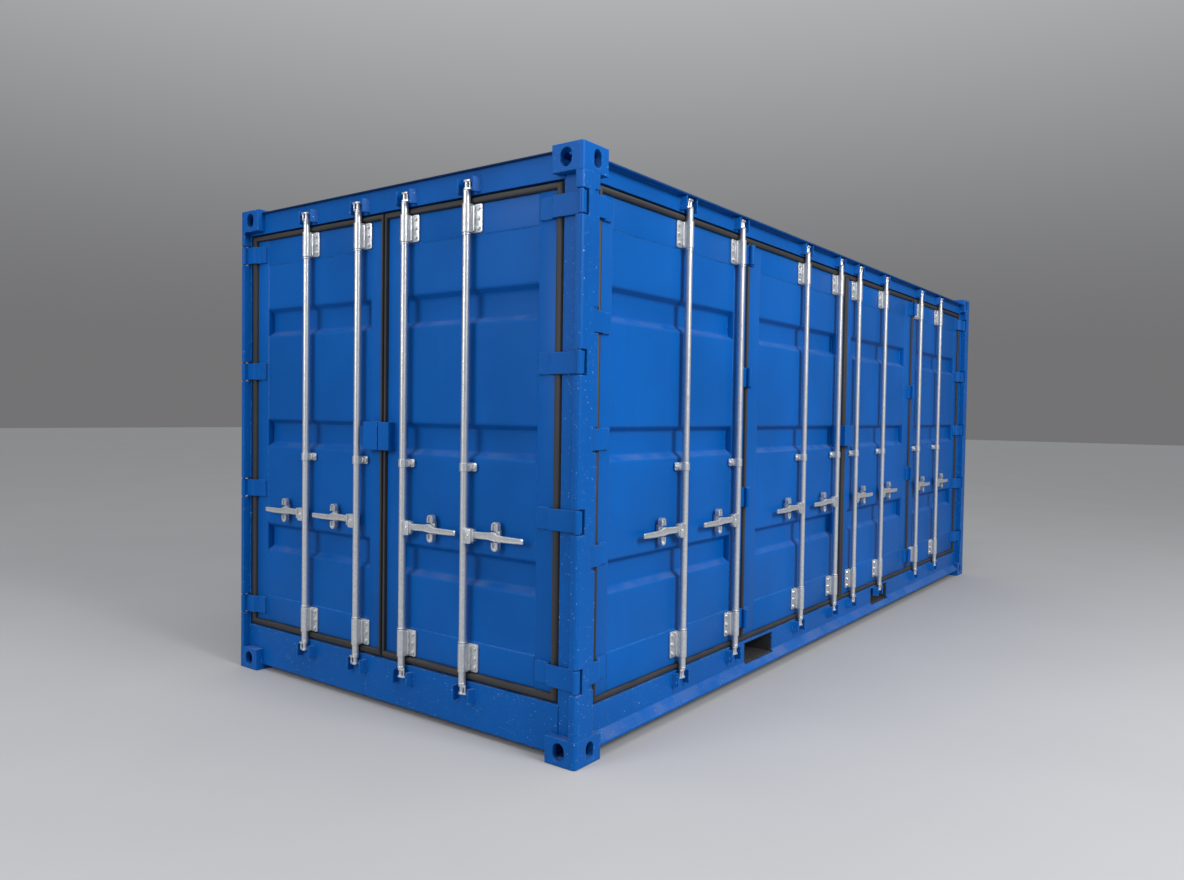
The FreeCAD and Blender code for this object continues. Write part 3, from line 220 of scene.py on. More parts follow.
class Piece:
    """Gathers closed surfaces in one face's (s, d, h) and makes one object of them."""

    def __init__(self, name, face="row"):
        self.name, self.place = name, FACES[face]
        self.blocks, self.faces, self.count = [], [], 0

    def add(self, points, *groups):
        for group in groups:
            self.faces += (np.asarray(group) + self.count).tolist()
        self.blocks.append(np.asarray(points, float).reshape(-1, 3))
        self.count += len(self.blocks[-1])

    def loft(self, sections, ring=False):
        """Joins outlines, an (n, m, 3) array. The ends are closed off unless the run is a ring."""
        n, m, _ = sections.shape
        caps = [] if ring else [np.arange(m)[None, ::-1], (np.arange(m) + (n - 1) * m)[None]]
        self.add(sections, grid_faces(n, m, ring, True), *caps)

    def lofts(self, sections, centres):
        """The same closed loft at many centres: its points plus each centre."""
        n, m, _ = sections.shape
        centres = np.asarray(centres, float).reshape(-1, 1, 3)
        points = sections.reshape(1, -1, 3) + centres
        shift = (np.arange(len(centres)) * n * m)[:, None, None]
        walls = (grid_faces(n, m, False, True)[None] + shift).reshape(-1, 4)
        caps = np.stack([np.arange(m)[::-1], np.arange(m) + (n - 1) * m])
        self.add(points, walls, (caps[None] + shift).reshape(-1, m))

    def make(self, material, body, slot, smooth=38.0, replaced=()):
        """Writes the mesh, turns its faces outwards, and makes it ride on its body."""
        mesh = bpy.data.meshes.new(self.name)
        mesh.from_pydata(self.place(np.concatenate(self.blocks)), [], self.faces)
        work = bmesh.new()
        work.from_mesh(mesh)
        bmesh.ops.remove_doubles(work, verts=work.verts, dist=2e-6)
        bmesh.ops.recalc_face_normals(work, faces=work.faces)
        work.to_mesh(mesh)
        work.free()
        mesh.shade_smooth()
        mesh.set_sharp_from_angle(angle=math.radians(smooth))
        mesh.materials.append(material)
        made = bpy.data.objects.new(self.name, mesh)
        bpy.context.scene.collection.objects.link(made)
        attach(made, body)
        if replaced:
            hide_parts(*replaced)
        return made


def rounded(line, reach, steps=4, closed=False):
    """A line of straight runs whose corners are eased by (1-t)^2 A + 2t(1-t) B + t^2 C, where B is the corner
    and A and C lie on its two runs, as far out as reach or 0.45 of the run."""
    line = np.asarray(line, float)
    before, after = np.roll(line, 1, 0), np.roll(line, -1, 0)
    back, on = before - line, after - line
    far_back, far_on = (np.linalg.norm(run, axis=1)[:, None] for run in (back, on))
    start = line + back / far_back * np.minimum(reach, 0.45 * far_back)
    end = line + on / far_on * np.minimum(reach, 0.45 * far_on)
    t = np.linspace(0, 1, steps)[None, :, None]
    eased = (1 - t) ** 2 * start[:, None] + 2 * t * (1 - t) * line[:, None] + t ** 2 * end[:, None]
    if closed:
        return eased.reshape(-1, line.shape[1])
    return np.concatenate([line[:1], eased[1:-1].reshape(-1, line.shape[1]), line[-1:]])


def filled_in(line, gap):
    """The same line with more points on its long runs, none more than gap apart."""
    run = np.concatenate([[0], np.cumsum(np.linalg.norm(np.diff(line, axis=0), axis=1))])
    extra = np.linspace(0, run[-1], int(run[-1] / gap) + 2)
    where = np.unique(np.concatenate([run, extra]).round(6))
    return np.stack([np.interp(where, run, line[:, axis]) for axis in range(line.shape[1])], 1)


def oblong(half_wide, half_high, radius, steps=5):
    """A rectangle with round corners: each corner's centre plus radius (cos, sin) over a quarter turn."""
    radius = min(radius, half_wide, half_high)
    turn = np.linspace(0, math.pi / 2, steps)
    corners = []
    for quarter, (right, up) in enumerate(((1, 1), (-1, 1), (-1, -1), (1, -1))):
        angle = turn + quarter * math.pi / 2
        corners.append(np.stack([right * (half_wide - radius) + radius * np.cos(angle),
                                 up * (half_high - radius) + radius * np.sin(angle)], 1))
    return np.concatenate(corners)


def slab_sections(size, normal, corner, edge, steps=3):
    """Outlines of a slab about its centre, stacked along one axis: a rounded rectangle that draws in by
    edge (1 - sin t) while it moves edge (1 - cos t) in from either end, t from 0 to a quarter turn."""
    along = [axis for axis in range(3) if axis != normal]
    half = np.asarray(size, float) / 2
    edge = min(edge, *(0.49 * half * 2))
    turn = np.linspace(0, math.pi / 2, steps)
    inset = edge * (1 - np.sin(turn))
    rise = edge * (1 - np.cos(turn))
    insets = np.concatenate([inset, inset[::-1]])
    heights = np.concatenate([rise - half[normal], (half[normal] - rise)[::-1]])
    sections = []
    for draw, height in zip(insets, heights):
        outline = oblong(half[along[0]] - draw, half[along[1]] - draw, max(corner - draw, 1e-4))
        section = np.empty((len(outline), 3))
        section[:, along[0]], section[:, along[1]], section[:, normal] = outline[:, 0], outline[:, 1], height
        sections.append(section)
    return np.array(sections)


def slab(piece, low, high, normal=1, corner=0.003, edge=0.002):
    """A rounded slab between two corners."""
    low, high = np.minimum(low, high), np.maximum(low, high)
    piece.loft(slab_sections(high - low, normal, corner, edge) + (low + high) / 2)


def lathe_sections(profile, turns=28, axis=2):
    """Circles about an axis: radius (cos a, sin a) at each height of a (radius, height) profile."""
    profile = np.asarray(profile, float)
    angle = np.arange(turns) * 2 * math.pi / turns
    first, second = [other for other in range(3) if other != axis]
    sections = np.empty((len(profile), turns, 3))
    sections[..., first] = profile[:, :1] * np.cos(angle)
    sections[..., second] = profile[:, :1] * np.sin(angle)
    sections[..., axis] = profile[:, 1:]
    return sections


def lathe(piece, profile, centre, turns=28, axis=2):
    piece.loft(lathe_sections(profile, turns, axis) + np.asarray(centre, float))


def disc_profile(radius, low, high, edge=0.0012):
    """Profile of a disc or a bar with a small chamfer at each end."""
    return [(radius - edge, low), (radius, low + edge), (radius, high - edge), (radius - edge, high)]


def annulus(piece, centre, inner, outer, low, high, turns=28, axis=2, edge=0.001):
    """A ring of rectangular section with chamfered corners, turned about an axis."""
    ring = np.array([(inner + edge, low), (outer - edge, low), (outer, low + edge), (outer, high - edge),
                     (outer - edge, high), (inner + edge, high), (inner, high - edge), (inner, low + edge)])
    sections = np.transpose(lathe_sections(ring, turns, axis), (1, 0, 2)) + np.asarray(centre, float)
    piece.loft(sections, ring=True)


def bolts(piece, centres, across=0.017, high=0.008, washer=0.012):
    """Hexagon heads on round washers, pointing outwards: six-cornered outlines with a chamfered top."""
    centres = np.asarray(centres, float).reshape(-1, 3)
    radius = across / math.sqrt(3)
    washers = lathe_sections(disc_profile(washer, -0.002, 0.0025, 0.0006), 18, 1)
    heads = lathe_sections([(radius, -0.003), (radius, high * 0.8), (radius * 0.86, high)], 6, 1)
    for sections in (washers, heads):
        sections[..., 1] *= -1
        piece.lofts(sections, centres)


def rivets(piece, centres, radius=0.006, high=0.003):
    """Round heads, a quarter circle in section, pointing outwards."""
    turn = np.linspace(0, math.pi / 2, 4)[:-1]
    dome = [(radius * math.cos(t), high * math.sin(t)) for t in turn]
    profile = [(radius, -0.001), *dome, (0.0008, high)]
    sections = lathe_sections(profile, 12, 1)
    sections[..., 1] *= -1
    piece.lofts(sections, centres)


def bead(piece, start, end, radius, pitch=0.007):
    """A weld bead from start to end: a tube whose radius swells 1 + 0.16 |cos| at each pass of the rod."""
    start, end = np.asarray(start, float), np.asarray(end, float)
    run = end - start
    length = np.linalg.norm(run)
    ahead = run / length
    side = np.cross(ahead, (0.31, 0.57, 0.76))
    side /= np.linalg.norm(side)
    over = np.cross(ahead, side)
    rings = max(int(length / pitch * 4), 6)
    along = np.linspace(0, length, rings)
    swell = radius * (0.86 + 0.16 * np.abs(np.cos(along * math.pi / pitch)))
    swell[[0, -1]] *= 0.35
    angle = np.arange(8) * math.pi / 4
    circle = np.cos(angle)[:, None] * side + np.sin(angle)[:, None] * over
    piece.loft(start + along[:, None, None] * ahead + swell[:, None, None] * circle[None])


# ---------------------------------------------------------------------------
# shader nodes
# ---------------------------------------------------------------------------

def put(tree, kind, inputs=None, **values):
    """Adds a node, sets its properties, and sets or links its inputs by name or number."""
    node = tree.nodes.new(kind)
    for name, value in values.items():
        setattr(node, name, value)
    for name, value in (inputs or {}).items():
        socket = node.inputs[name]
        if isinstance(value, bpy.types.NodeSocket):
            tree.links.new(value, socket)
        else:
            socket.default_value = value
    return node


def calc(tree, operation, first, second=0.0, clamp=False):
    node = put(tree, "ShaderNodeMath", {0: first, 1: second}, operation=operation, use_clamp=clamp)
    return node.outputs[0]


def remap(tree, value, low, high, to_low=0.0, to_high=1.0):
    """A smooth step from one range to another."""
    limits = {"Value": value, "From Min": low, "From Max": high, "To Min": to_low, "To Max": to_high}
    return put(tree, "ShaderNodeMapRange", limits, interpolation_type="SMOOTHSTEP").outputs[0]


def mixed(tree, factor, first, second):
    """A colour mix; colours are sockets or RGB triples."""
    node = put(tree, "ShaderNodeMix", data_type="RGBA")
    for number, value in ((0, factor), (6, first), (7, second)):
        if isinstance(value, bpy.types.NodeSocket):
            tree.links.new(value, node.inputs[number])
        elif number:
            node.inputs[number].default_value = (*value, 1.0)
        else:
            node.inputs[number].default_value = value
    return node.outputs[2]


def noise(tree, vector, scale, detail=3.0, roughness=0.55, stretch=None):
    if stretch:
        vector = put(tree, "ShaderNodeMapping", {"Vector": vector, "Scale": stretch}).outputs[0]
    return put(tree, "ShaderNodeTexNoise", {"Vector": vector, "Scale": scale, "Detail": detail,
                                            "Roughness": roughness}).outputs["Fac"]


def new_group(name, inputs, outputs):
    """An empty shader group with named sockets; returns the group and its two end nodes."""
    group = bpy.data.node_groups.new(name, "ShaderNodeTree")
    for label, kind, value in inputs:
        socket = group.interface.new_socket(name=label, in_out="INPUT", socket_type=kind)
        if value is not None:
            socket.default_value = value
    for label, kind in outputs:
        group.interface.new_socket(name=label, in_out="OUTPUT", socket_type=kind)
    return group, group.nodes.new("NodeGroupInput"), group.nodes.new("NodeGroupOutput")


def ageing_group():
    """Masks of weather and use: edges rubbed thin, dust on faces that look up, runs down walls, chips."""
    group, given, out = new_group(
        "container_ageing",
        [("Edge Radius", "NodeSocketFloat", 0.006), ("Chips", "NodeSocketFloat", 0.0)],
        [("Edge", "NodeSocketFloat"), ("Dust", "NodeSocketFloat"), ("Runs", "NodeSocketFloat"),
         ("Chip", "NodeSocketFloat"), ("Cloud", "NodeSocketFloat"), ("Rounded Normal", "NodeSocketVector")])
    where = put(group, "ShaderNodeTexCoord")
    place, facing = where.outputs["Object"], where.outputs["Normal"]
    soft = put(group, "ShaderNodeBevel", {"Radius": given.outputs["Edge Radius"]}, samples=6)
    sharp = put(group, "ShaderNodeNewGeometry")
    turned = put(group, "ShaderNodeVectorMath", {0: soft.outputs[0], 1: sharp.outputs["Normal"]},
                 operation="DOT_PRODUCT").outputs["Value"]
    patchy = noise(group, place, 38.0, 4.0)
    edge = remap(group, turned, 0.995, 0.90)
    edge = calc(group, "MULTIPLY", edge, remap(group, patchy, 0.36, 0.66))
    up = put(group, "ShaderNodeSeparateXYZ", {0: facing}).outputs[2]
    lying = remap(group, noise(group, place, 7.0), 0.25, 0.8)
    dust = calc(group, "MULTIPLY", remap(group, up, 0.35, 0.95), lying)
    runs = remap(group, noise(group, place, 1.0, 5.0, 0.6, (26.0, 26.0, 0.9)), 0.52, 0.78)
    flakes = noise(group, place, 130.0, 3.0, 0.62)
    cloud = noise(group, place, 1.7, 4.0, 0.5)
    many = calc(group, "ADD", flakes, calc(group, "MULTIPLY", given.outputs["Chips"], 0.3))
    chip = remap(group, calc(group, "ADD", many, calc(group, "MULTIPLY", edge, 0.055)), 0.80, 0.815)
    for label, socket in (("Edge", edge), ("Dust", dust), ("Runs", runs), ("Chip", chip), ("Cloud", cloud),
                          ("Rounded Normal", soft.outputs[0])):
        group.links.new(socket, out.inputs[label])
    return group


def spangle_group():
    """Zinc crystals: random tones in Voronoi cells, with fine scratches across them."""
    group, given, out = new_group("zinc_spangle", [("Size", "NodeSocketFloat", 0.011)],
                                  [("Tone", "NodeSocketFloat"), ("Height", "NodeSocketFloat")])
    place = put(group, "ShaderNodeTexCoord").outputs["Object"]
    scale = calc(group, "DIVIDE", 1.0, given.outputs["Size"])
    cells = put(group, "ShaderNodeTexVoronoi", {"Vector": place, "Scale": scale, "Randomness": 1.0})
    tone = put(group, "ShaderNodeSeparateColor", {0: cells.outputs["Color"]}).outputs[0]
    group.links.new(tone, out.inputs["Tone"])
    group.links.new(noise(group, place, 420.0, 3.0, 0.6, (1.0, 1.0, 0.25)), out.inputs["Height"])
    return group


def new_material(name):
    material = bpy.data.materials.new(name)
    material.use_nodes = True
    tree = material.node_tree
    return material, tree, tree.nodes["Principled BSDF"]


def use_group(tree, group, **inputs):
    node = tree.nodes.new("ShaderNodeGroup")
    node.node_tree = bpy.data.node_groups[group]
    for label, value in inputs.items():
        node.inputs[label.replace("_", " ")].default_value = value
    return node.outputs


def paint_material(name, paint, dust, runs, chips, lip_shade_over):
    """Semi-gloss blue over steel: cloudy tone, worn edges, dust, faint runs, a band of painted shade along the
    headers' top lips and a fine orange peel.
    """
    material, tree, shader = new_material(name)
    age = use_group(tree, "container_ageing", Edge_Radius=paint.wear_radius, Chips=chips)
    lighter, stained = ([channel * part for channel in paint.blue] for part in (1.2, 0.55))
    tone = mixed(tree, remap(tree, age["Cloud"], 0.3, 0.7), paint.blue, lighter)
    tone = mixed(tree, calc(tree, "MULTIPLY", age["Edge"], 0.55), tone, paint.worn_blue)
    tone = mixed(tree, calc(tree, "MULTIPLY", age["Runs"], runs * 0.35), tone, stained)
    tone = mixed(tree, calc(tree, "MULTIPLY", age["Dust"], dust * 0.5), tone, paint.dust)
    tone = mixed(tree, age["Chip"], tone, paint.primer)
    place = put(tree, "ShaderNodeTexCoord").outputs["Object"]
    # Painted shade: above the given height the header's top lip is darkened to stand for the shade along it.
    if lip_shade_over:
        height = put(tree, "ShaderNodeSeparateXYZ", {0: place}).outputs[2]
        tone = mixed(tree, remap(tree, height, lip_shade_over, lip_shade_over + 0.004, 0.0, 0.86), tone, paint.painted_lip_shade)
    tree.links.new(tone, shader.inputs["Base Color"])
    rough = calc(tree, "ADD", calc(tree, "MULTIPLY", age["Cloud"], 0.14), paint.gloss - 0.07)
    rough = calc(tree, "ADD", rough, calc(tree, "MULTIPLY", age["Dust"], 0.3 * dust), True)
    tree.links.new(rough, shader.inputs["Roughness"])
    peel = put(tree, "ShaderNodeBump", {"Strength": 0.12, "Distance": 0.0006, "Normal": age["Rounded Normal"],
                                        "Height": noise(tree, place, 260.0, 2.0)})
    tree.links.new(peel.outputs[0], shader.inputs["Normal"])
    shader.inputs["Specular IOR Level"].default_value = 0.12
    return material


def zinc_material(steel):
    """Galvanised steel: bright, with spangles, dull patches and dirt in a few places."""
    material, tree, shader = new_material("galvanised_steel")
    age = use_group(tree, "container_ageing", Edge_Radius=0.0015, Chips=0.0)
    crystals = use_group(tree, "zinc_spangle", Size=steel.spangle)
    dull = [channel * 0.72 for channel in steel.zinc]
    tone = mixed(tree, remap(tree, crystals["Tone"], 0.0, 1.0, 0.0, 0.5), steel.zinc, dull)
    tone = mixed(tree, remap(tree, age["Cloud"], 0.55, 0.8, 0.0, 0.35), tone, (0.36, 0.34, 0.31))
    tree.links.new(tone, shader.inputs["Base Color"])
    shader.inputs["Metallic"].default_value = 0.78
    rough = calc(tree, "ADD", calc(tree, "MULTIPLY", crystals["Tone"], 0.16), steel.roughness - 0.06)
    tree.links.new(rough, shader.inputs["Roughness"])
    bump = put(tree, "ShaderNodeBump", {"Strength": 0.25, "Distance": 0.0004, "Height": crystals["Height"],
                                        "Normal": age["Rounded Normal"]})
    tree.links.new(bump.outputs[0], shader.inputs["Normal"])
    return material


def rubber_material(rubber):
    """Weathered seal rubber: dark, dull, dusty where it looks up, with a fine moulded grain."""
    material, tree, shader = new_material("seal_rubber")
    age = use_group(tree, "container_ageing", Edge_Radius=0.0015, Chips=0.0)
    tone = mixed(tree, remap(tree, age["Cloud"], 0.3, 0.75, 0.0, 0.3), rubber.rubber, rubber.dusty)
    tone = mixed(tree, calc(tree, "MULTIPLY", age["Dust"], 0.8), tone, rubber.dusty)
    tree.links.new(tone, shader.inputs["Base Color"])
    shader.inputs["Roughness"].default_value = 0.62
    place = put(tree, "ShaderNodeTexCoord").outputs["Object"]
    bump = put(tree, "ShaderNodeBump", {"Strength": 0.35, "Distance": 0.0006,
                                        "Height": noise(tree, place, 300.0, 3.0)})
    tree.links.new(bump.outputs[0], shader.inputs["Normal"])
    return material


def wood_material(wood):
    """Oiled plywood: grain stretched along the boards, darker late wood, scuffed in patches."""
    material, tree, shader = new_material("floor_plywood")
    place = put(tree, "ShaderNodeTexCoord").outputs["Object"]
    grain = noise(tree, place, 5.0, 6.0, 0.62, (0.35, 7.0, 7.0))
    fibre = noise(tree, place, 60.0, 3.0, 0.6, (0.12, 4.0, 4.0))
    tone = mixed(tree, remap(tree, grain, 0.35, 0.65), wood.dark_wood, wood.light_wood)
    tone = mixed(tree, remap(tree, fibre, 0.4, 0.8, 0.0, 0.4), tone, wood.dark_wood)
    tree.links.new(tone, shader.inputs["Base Color"])
    tree.links.new(remap(tree, noise(tree, place, 3.0), 0.3, 0.7, 0.5, 0.72), shader.inputs["Roughness"])
    bump = put(tree, "ShaderNodeBump", {"Strength": 0.3, "Distance": 0.001, "Height": fibre})
    tree.links.new(bump.outputs[0], shader.inputs["Normal"])
    return material


def hidden_material():
    """Matt black bitumen paint of the underframe, blotched and dusty."""
    material, tree, shader = new_material("underframe_bitumen")
    age = use_group(tree, "container_ageing", Edge_Radius=0.004, Chips=0.0)
    tone = mixed(tree, remap(tree, age["Cloud"], 0.3, 0.7), (0.018, 0.019, 0.022), (0.045, 0.044, 0.043))
    tree.links.new(mixed(tree, age["Edge"], tone, (0.09, 0.085, 0.08)), shader.inputs["Base Color"])
    shader.inputs["Roughness"].default_value = 0.68
    tree.links.new(age["Rounded Normal"], shader.inputs["Normal"])
    return material


# ---------------------------------------------------------------------------
# door leaves
# ---------------------------------------------------------------------------

BAND_MIDDLES = (0.759, 1.346, 1.962)
BAND_HIGH, BAND_SLOPE, BAND_DEEP = 0.152, 0.025, 0.036
RAIL_OVER, RAIL_UNDER = 0.425, 2.281

# for each leaf: its face, its body and the widths of its stiles, from low s to high s
LEAVES = {
    "near_leaf": ("end", "near_door", 0.099, 0.089),
    "far_leaf": ("end", "far_door", 0.089, 0.099),
    "side_leaf_1": ("side", "root", 0.097, 0.136),
    "side_leaf_2": ("side", "root", 0.143, 0.1035),
    "side_leaf_3": ("side", "root", 0.1035, 0.143),
    "side_leaf_4": ("side", "root", 0.136, 0.097),
}


def slow_ripple(s, z, depth, seed):
    """Four crossed cosine waves, each about a metre long, that fade to nothing at the sheet's edges."""
    chance = np.random.default_rng(seed)
    total = np.zeros(np.broadcast_shapes(s.shape, z.shape))
    for _ in range(4):
        along, up, phase = chance.uniform(3, 8), chance.uniform(1.5, 5), chance.uniform(0, 6.3)
        total = total + np.cos(along * s + up * z + phase)
    across = (s - s.min()) / (s.max() - s.min())
    over = (z - z.min()) / (z.max() - z.min())
    return depth * total / 2 * np.sqrt(np.sin(math.pi * across).clip(0) * np.sin(math.pi * over).clip(0))


def pressed_sheet(piece, s_range, z_range, front, pressing, seed):
    """The sheet's depth follows one line up the door, straight runs with eased creases round three bands, the
    same at every s, plus the slow ripples; its back is the same surface one sheet thickness further in."""
    line = [(z_range[0], 0.0)]
    for middle in BAND_MIDDLES:
        low, high = middle - BAND_HIGH / 2, middle + BAND_HIGH / 2
        line += [(low, 0.0), (low + BAND_SLOPE, BAND_DEEP), (high - BAND_SLOPE, BAND_DEEP), (high, 0.0)]
    line = filled_in(rounded(line + [(z_range[1], 0.0)], pressing.crease, 6), 0.05)
    s = np.linspace(*s_range, 28)[:, None]
    z, depth = line[None, :, 0], line[None, :, 1]
    face = front + depth + slow_ripple(s, z, pressing.ripple, seed)
    outer = np.stack(np.broadcast_arrays(s, face, z), -1)
    inner = outer[:, ::-1] + (0, pressing.sheet, 0)
    piece.loft(np.concatenate([outer, inner], 1))


def door_leaf(name, material, pressing, seed):
    """A welded frame of two stiles and two rails with the pressed sheet let in, a step behind its face."""
    face, body, low_stile, high_stile = LEAVES[name]
    (s0, s1), (front, back), (z0, z1) = span(name, face)
    piece = Piece(f"door_{name}", face)
    inner0, inner1 = s0 + low_stile, s1 - high_stile
    for low, high in ((s0, inner0), (inner1, s1)):
        slab(piece, (low, front, z0), (high, back, z1), 2, 0.005, 0.001)
    for low, high in ((z0, RAIL_OVER), (RAIL_UNDER, z1)):
        slab(piece, (inner0 - 0.0005, front + 0.0004, low), (inner1 + 0.0005, back, high), 0, 0.005, 0.0005)
    pressed_sheet(piece, (inner0 - 0.002, inner1 + 0.002), (RAIL_OVER - 0.002, RAIL_UNDER + 0.002),
                  front + pressing.step, pressing, seed)
    for rail in (RAIL_OVER, RAIL_UNDER):
        bead(piece, (inner0 + 0.01, back - 0.002, rail), (inner1 - 0.01, back - 0.002, rail), 0.003, 0.02)
    return piece.make(material, body, "door_paint", 40.0, [name])


# ---------------------------------------------------------------------------
# rubber seals
# ---------------------------------------------------------------------------

def seal_outline(front, back):
    """The seal's section from the leaf's edge (0) to the frame (1): a clip on the leaf, a bead and a lip."""
    line = [(0.02, back), (0.02, front + 0.016), (0.05, front + 0.013), (0.05, front + 0.009),
            (0.16, front + 0.003), (0.34, front), (0.58, front), (0.78, front + 0.004), (0.94, front + 0.013),
            (0.99, front + 0.024), (0.94, front + 0.022), (0.80, front + 0.016), (0.55, front + 0.018),
            (0.50, back)]
    return rounded(line, 0.012, 3, True)


def seal_ring(piece, inner, outer, front, back):
    """Four mitred runs round a leaf. inner and outer are (s low, s high, z low, z high); a point of the
    section at share a lies a part a of the way from the inner rectangle to the outer one."""
    outline = seal_outline(front, back)
    a, depth = outline[:, 0], outline[:, 1]
    sections = []
    for s_side, z_side in ((0, 2), (1, 2), (1, 3), (0, 3)):
        s = inner[s_side] + a * (outer[s_side] - inner[s_side])
        z = inner[z_side] + a * (outer[z_side] - inner[z_side])
        sections.append(np.stack([s, depth, z], 1))
    piece.loft(np.array(sections), ring=True)


def seal_strip(piece, s_from, s_to, z0, z1, front, back):
    """One upright run between two folding leaves, from the edge of one to the edge of the other."""
    outline = seal_outline(front, back)
    s = s_from + outline[:, 0] * (s_to - s_from)
    sections = [np.stack([s, outline[:, 1], np.full(len(s), z)], 1) for z in (z0, z1)]
    piece.loft(np.array(sections))


def end_seal(leaf, material):
    face, body = LEAVES[leaf][:2]
    node = f"{leaf}_gasket"
    outer, (front, back), outer_z = span(node, face)
    inner, _, inner_z = span(leaf, face)
    piece = Piece(f"seal_{leaf}", face)
    seal_ring(piece, (*inner, *inner_z), (*outer, *outer_z), front, back)
    return piece.make(material, body, "gasket_rubber", 50.0, [node])


def side_seals(material):
    """A ring round all four folding leaves, two strips that meet at the centre and one at each fold."""
    outer, (front, back), outer_z = span("side_gaskets", "side")
    leaves = [span(f"side_leaf_{number}", "side")[0] for number in range(1, 5)]
    inner_z = span("side_leaf_1", "side")[2]
    piece = Piece("seal_side_doors", "side")
    seal_ring(piece, (leaves[0][0], leaves[3][1], *inner_z), (*outer, *outer_z), front, back)
    z0, z1 = inner_z[0] - 0.004, inner_z[1] + 0.004
    meet = 0.0015
    seal_strip(piece, leaves[1][1], -meet, z0, z1, front, back)
    seal_strip(piece, leaves[2][0], meet, z0, z1, front, back)
    for left, right in ((0, 1), (2, 3)):
        seal_strip(piece, leaves[left][1], leaves[right][0], z0, z1, front + 0.003, back)
    return piece.make(material, "root", "gasket_rubber", 50.0, ["side_gaskets"])


# ---------------------------------------------------------------------------
# lock rods, brackets and catches
# ---------------------------------------------------------------------------

ROD_DEPTH, ROD_RADIUS = 0.022, 0.01685
ROD_LOW, ROD_HIGH, CAM_HIGH = 0.186, 2.523, 0.044
HUB_MID, HUB_HALF, HUB_WIDE, HANDLE_MID, HANDLE_LONG = 0.917, 0.035, 0.056, 0.924, 0.361
CATCH_AWAY, CATCH_MID = 0.192, 0.926
SLEEVE_HIGH, SLEEVE_LOW, SLEEVE_TOP, GUIDE_MID, GUIDE_HIGH = 0.130, 0.288, 2.289, 1.228, 0.040
SLEEVE_HALF, SLEEVE_BORE, LEAF_FACE = 0.021, 0.0176, 0.057

# for each rod: its face, the body that carries it and the way its handle points
RODS = {f"end_rod_{number}": ("end", "far_door" if number < 3 else "near_door", 1 if number < 3 else -1)
        for number in range(1, 5)}
RODS.update({f"side_rod_{number}": ("side", "root", -1 if number < 5 else 1) for number in range(1, 9)})


def rod_place(name):
    """Where the rod's axis crosses its face."""
    place = HINGES[f"{name}_turn"]["pos_m"]
    return place[1] if RODS[name][0] == "end" else place[0]


def tear_outline(radius, tip_radius, reach, turn, steps=9):
    """A cam plate's outline: a large arc round the rod and a small one round the tip, turned by an angle."""
    slope = math.asin((radius - tip_radius) / reach)
    wide = np.linspace(math.pi / 2 - slope, 1.5 * math.pi + slope, 2 * steps)
    tight = np.linspace(-math.pi / 2 + slope, math.pi / 2 - slope, steps)
    big = np.stack([radius * np.cos(wide), radius * np.sin(wide)], 1)
    small = np.stack([reach + tip_radius * np.cos(tight), tip_radius * np.sin(tight)], 1)
    points = np.concatenate([big, small])
    c, s = math.cos(turn), math.sin(turn)
    return points @ np.array([[c, s], [-s, c]])


def cam_plate(piece, s, way, z0, z1, turn):
    """One plate of a cam: the tear outline drawn in at both faces, way 1 or -1 along s."""
    sections = []
    for z, draw in ((z0, 0.0012), (z0 + 0.0012, 0), (z1 - 0.0012, 0), (z1, 0.0012)):
        outline = tear_outline(0.016 - draw, 0.0062 - draw, 0.0265, turn)
        along, depth = s + way * outline[:, 0], ROD_DEPTH - outline[:, 1]
        sections.append(np.stack([along, depth, np.full(len(outline), z)], 1))
    piece.loft(np.array(sections))


def cam(piece, s, way, low, upper):
    """A forged cam: a neck, two tear-shaped plates turned a little apart, a pin between their tips."""
    high = low + CAM_HIGH
    axis = (s, ROD_DEPTH, 0)
    neck = [(0.0118, low + 0.004), (0.0105, low + 0.014), (0.0105, high - 0.014), (0.0118, high - 0.004)]
    lathe(piece, neck, axis, 20)
    cam_plate(piece, s, way, low, low + 0.009, 0.10)
    cam_plate(piece, s, way, high - 0.009, high, 0.34)
    tip = (s + way * 0.024, ROD_DEPTH - 0.005, 0)
    lathe(piece, [(0.0055, low + 0.004), (0.0048, low + 0.02), (0.0055, high - 0.004)], tip, 12)
    collar = high + 0.002 if not upper else low - 0.010
    lathe(piece, [(0.0155, collar), (0.0178, collar + 0.002), (0.0178, collar + 0.006),
                  (0.0155, collar + 0.008)], axis)


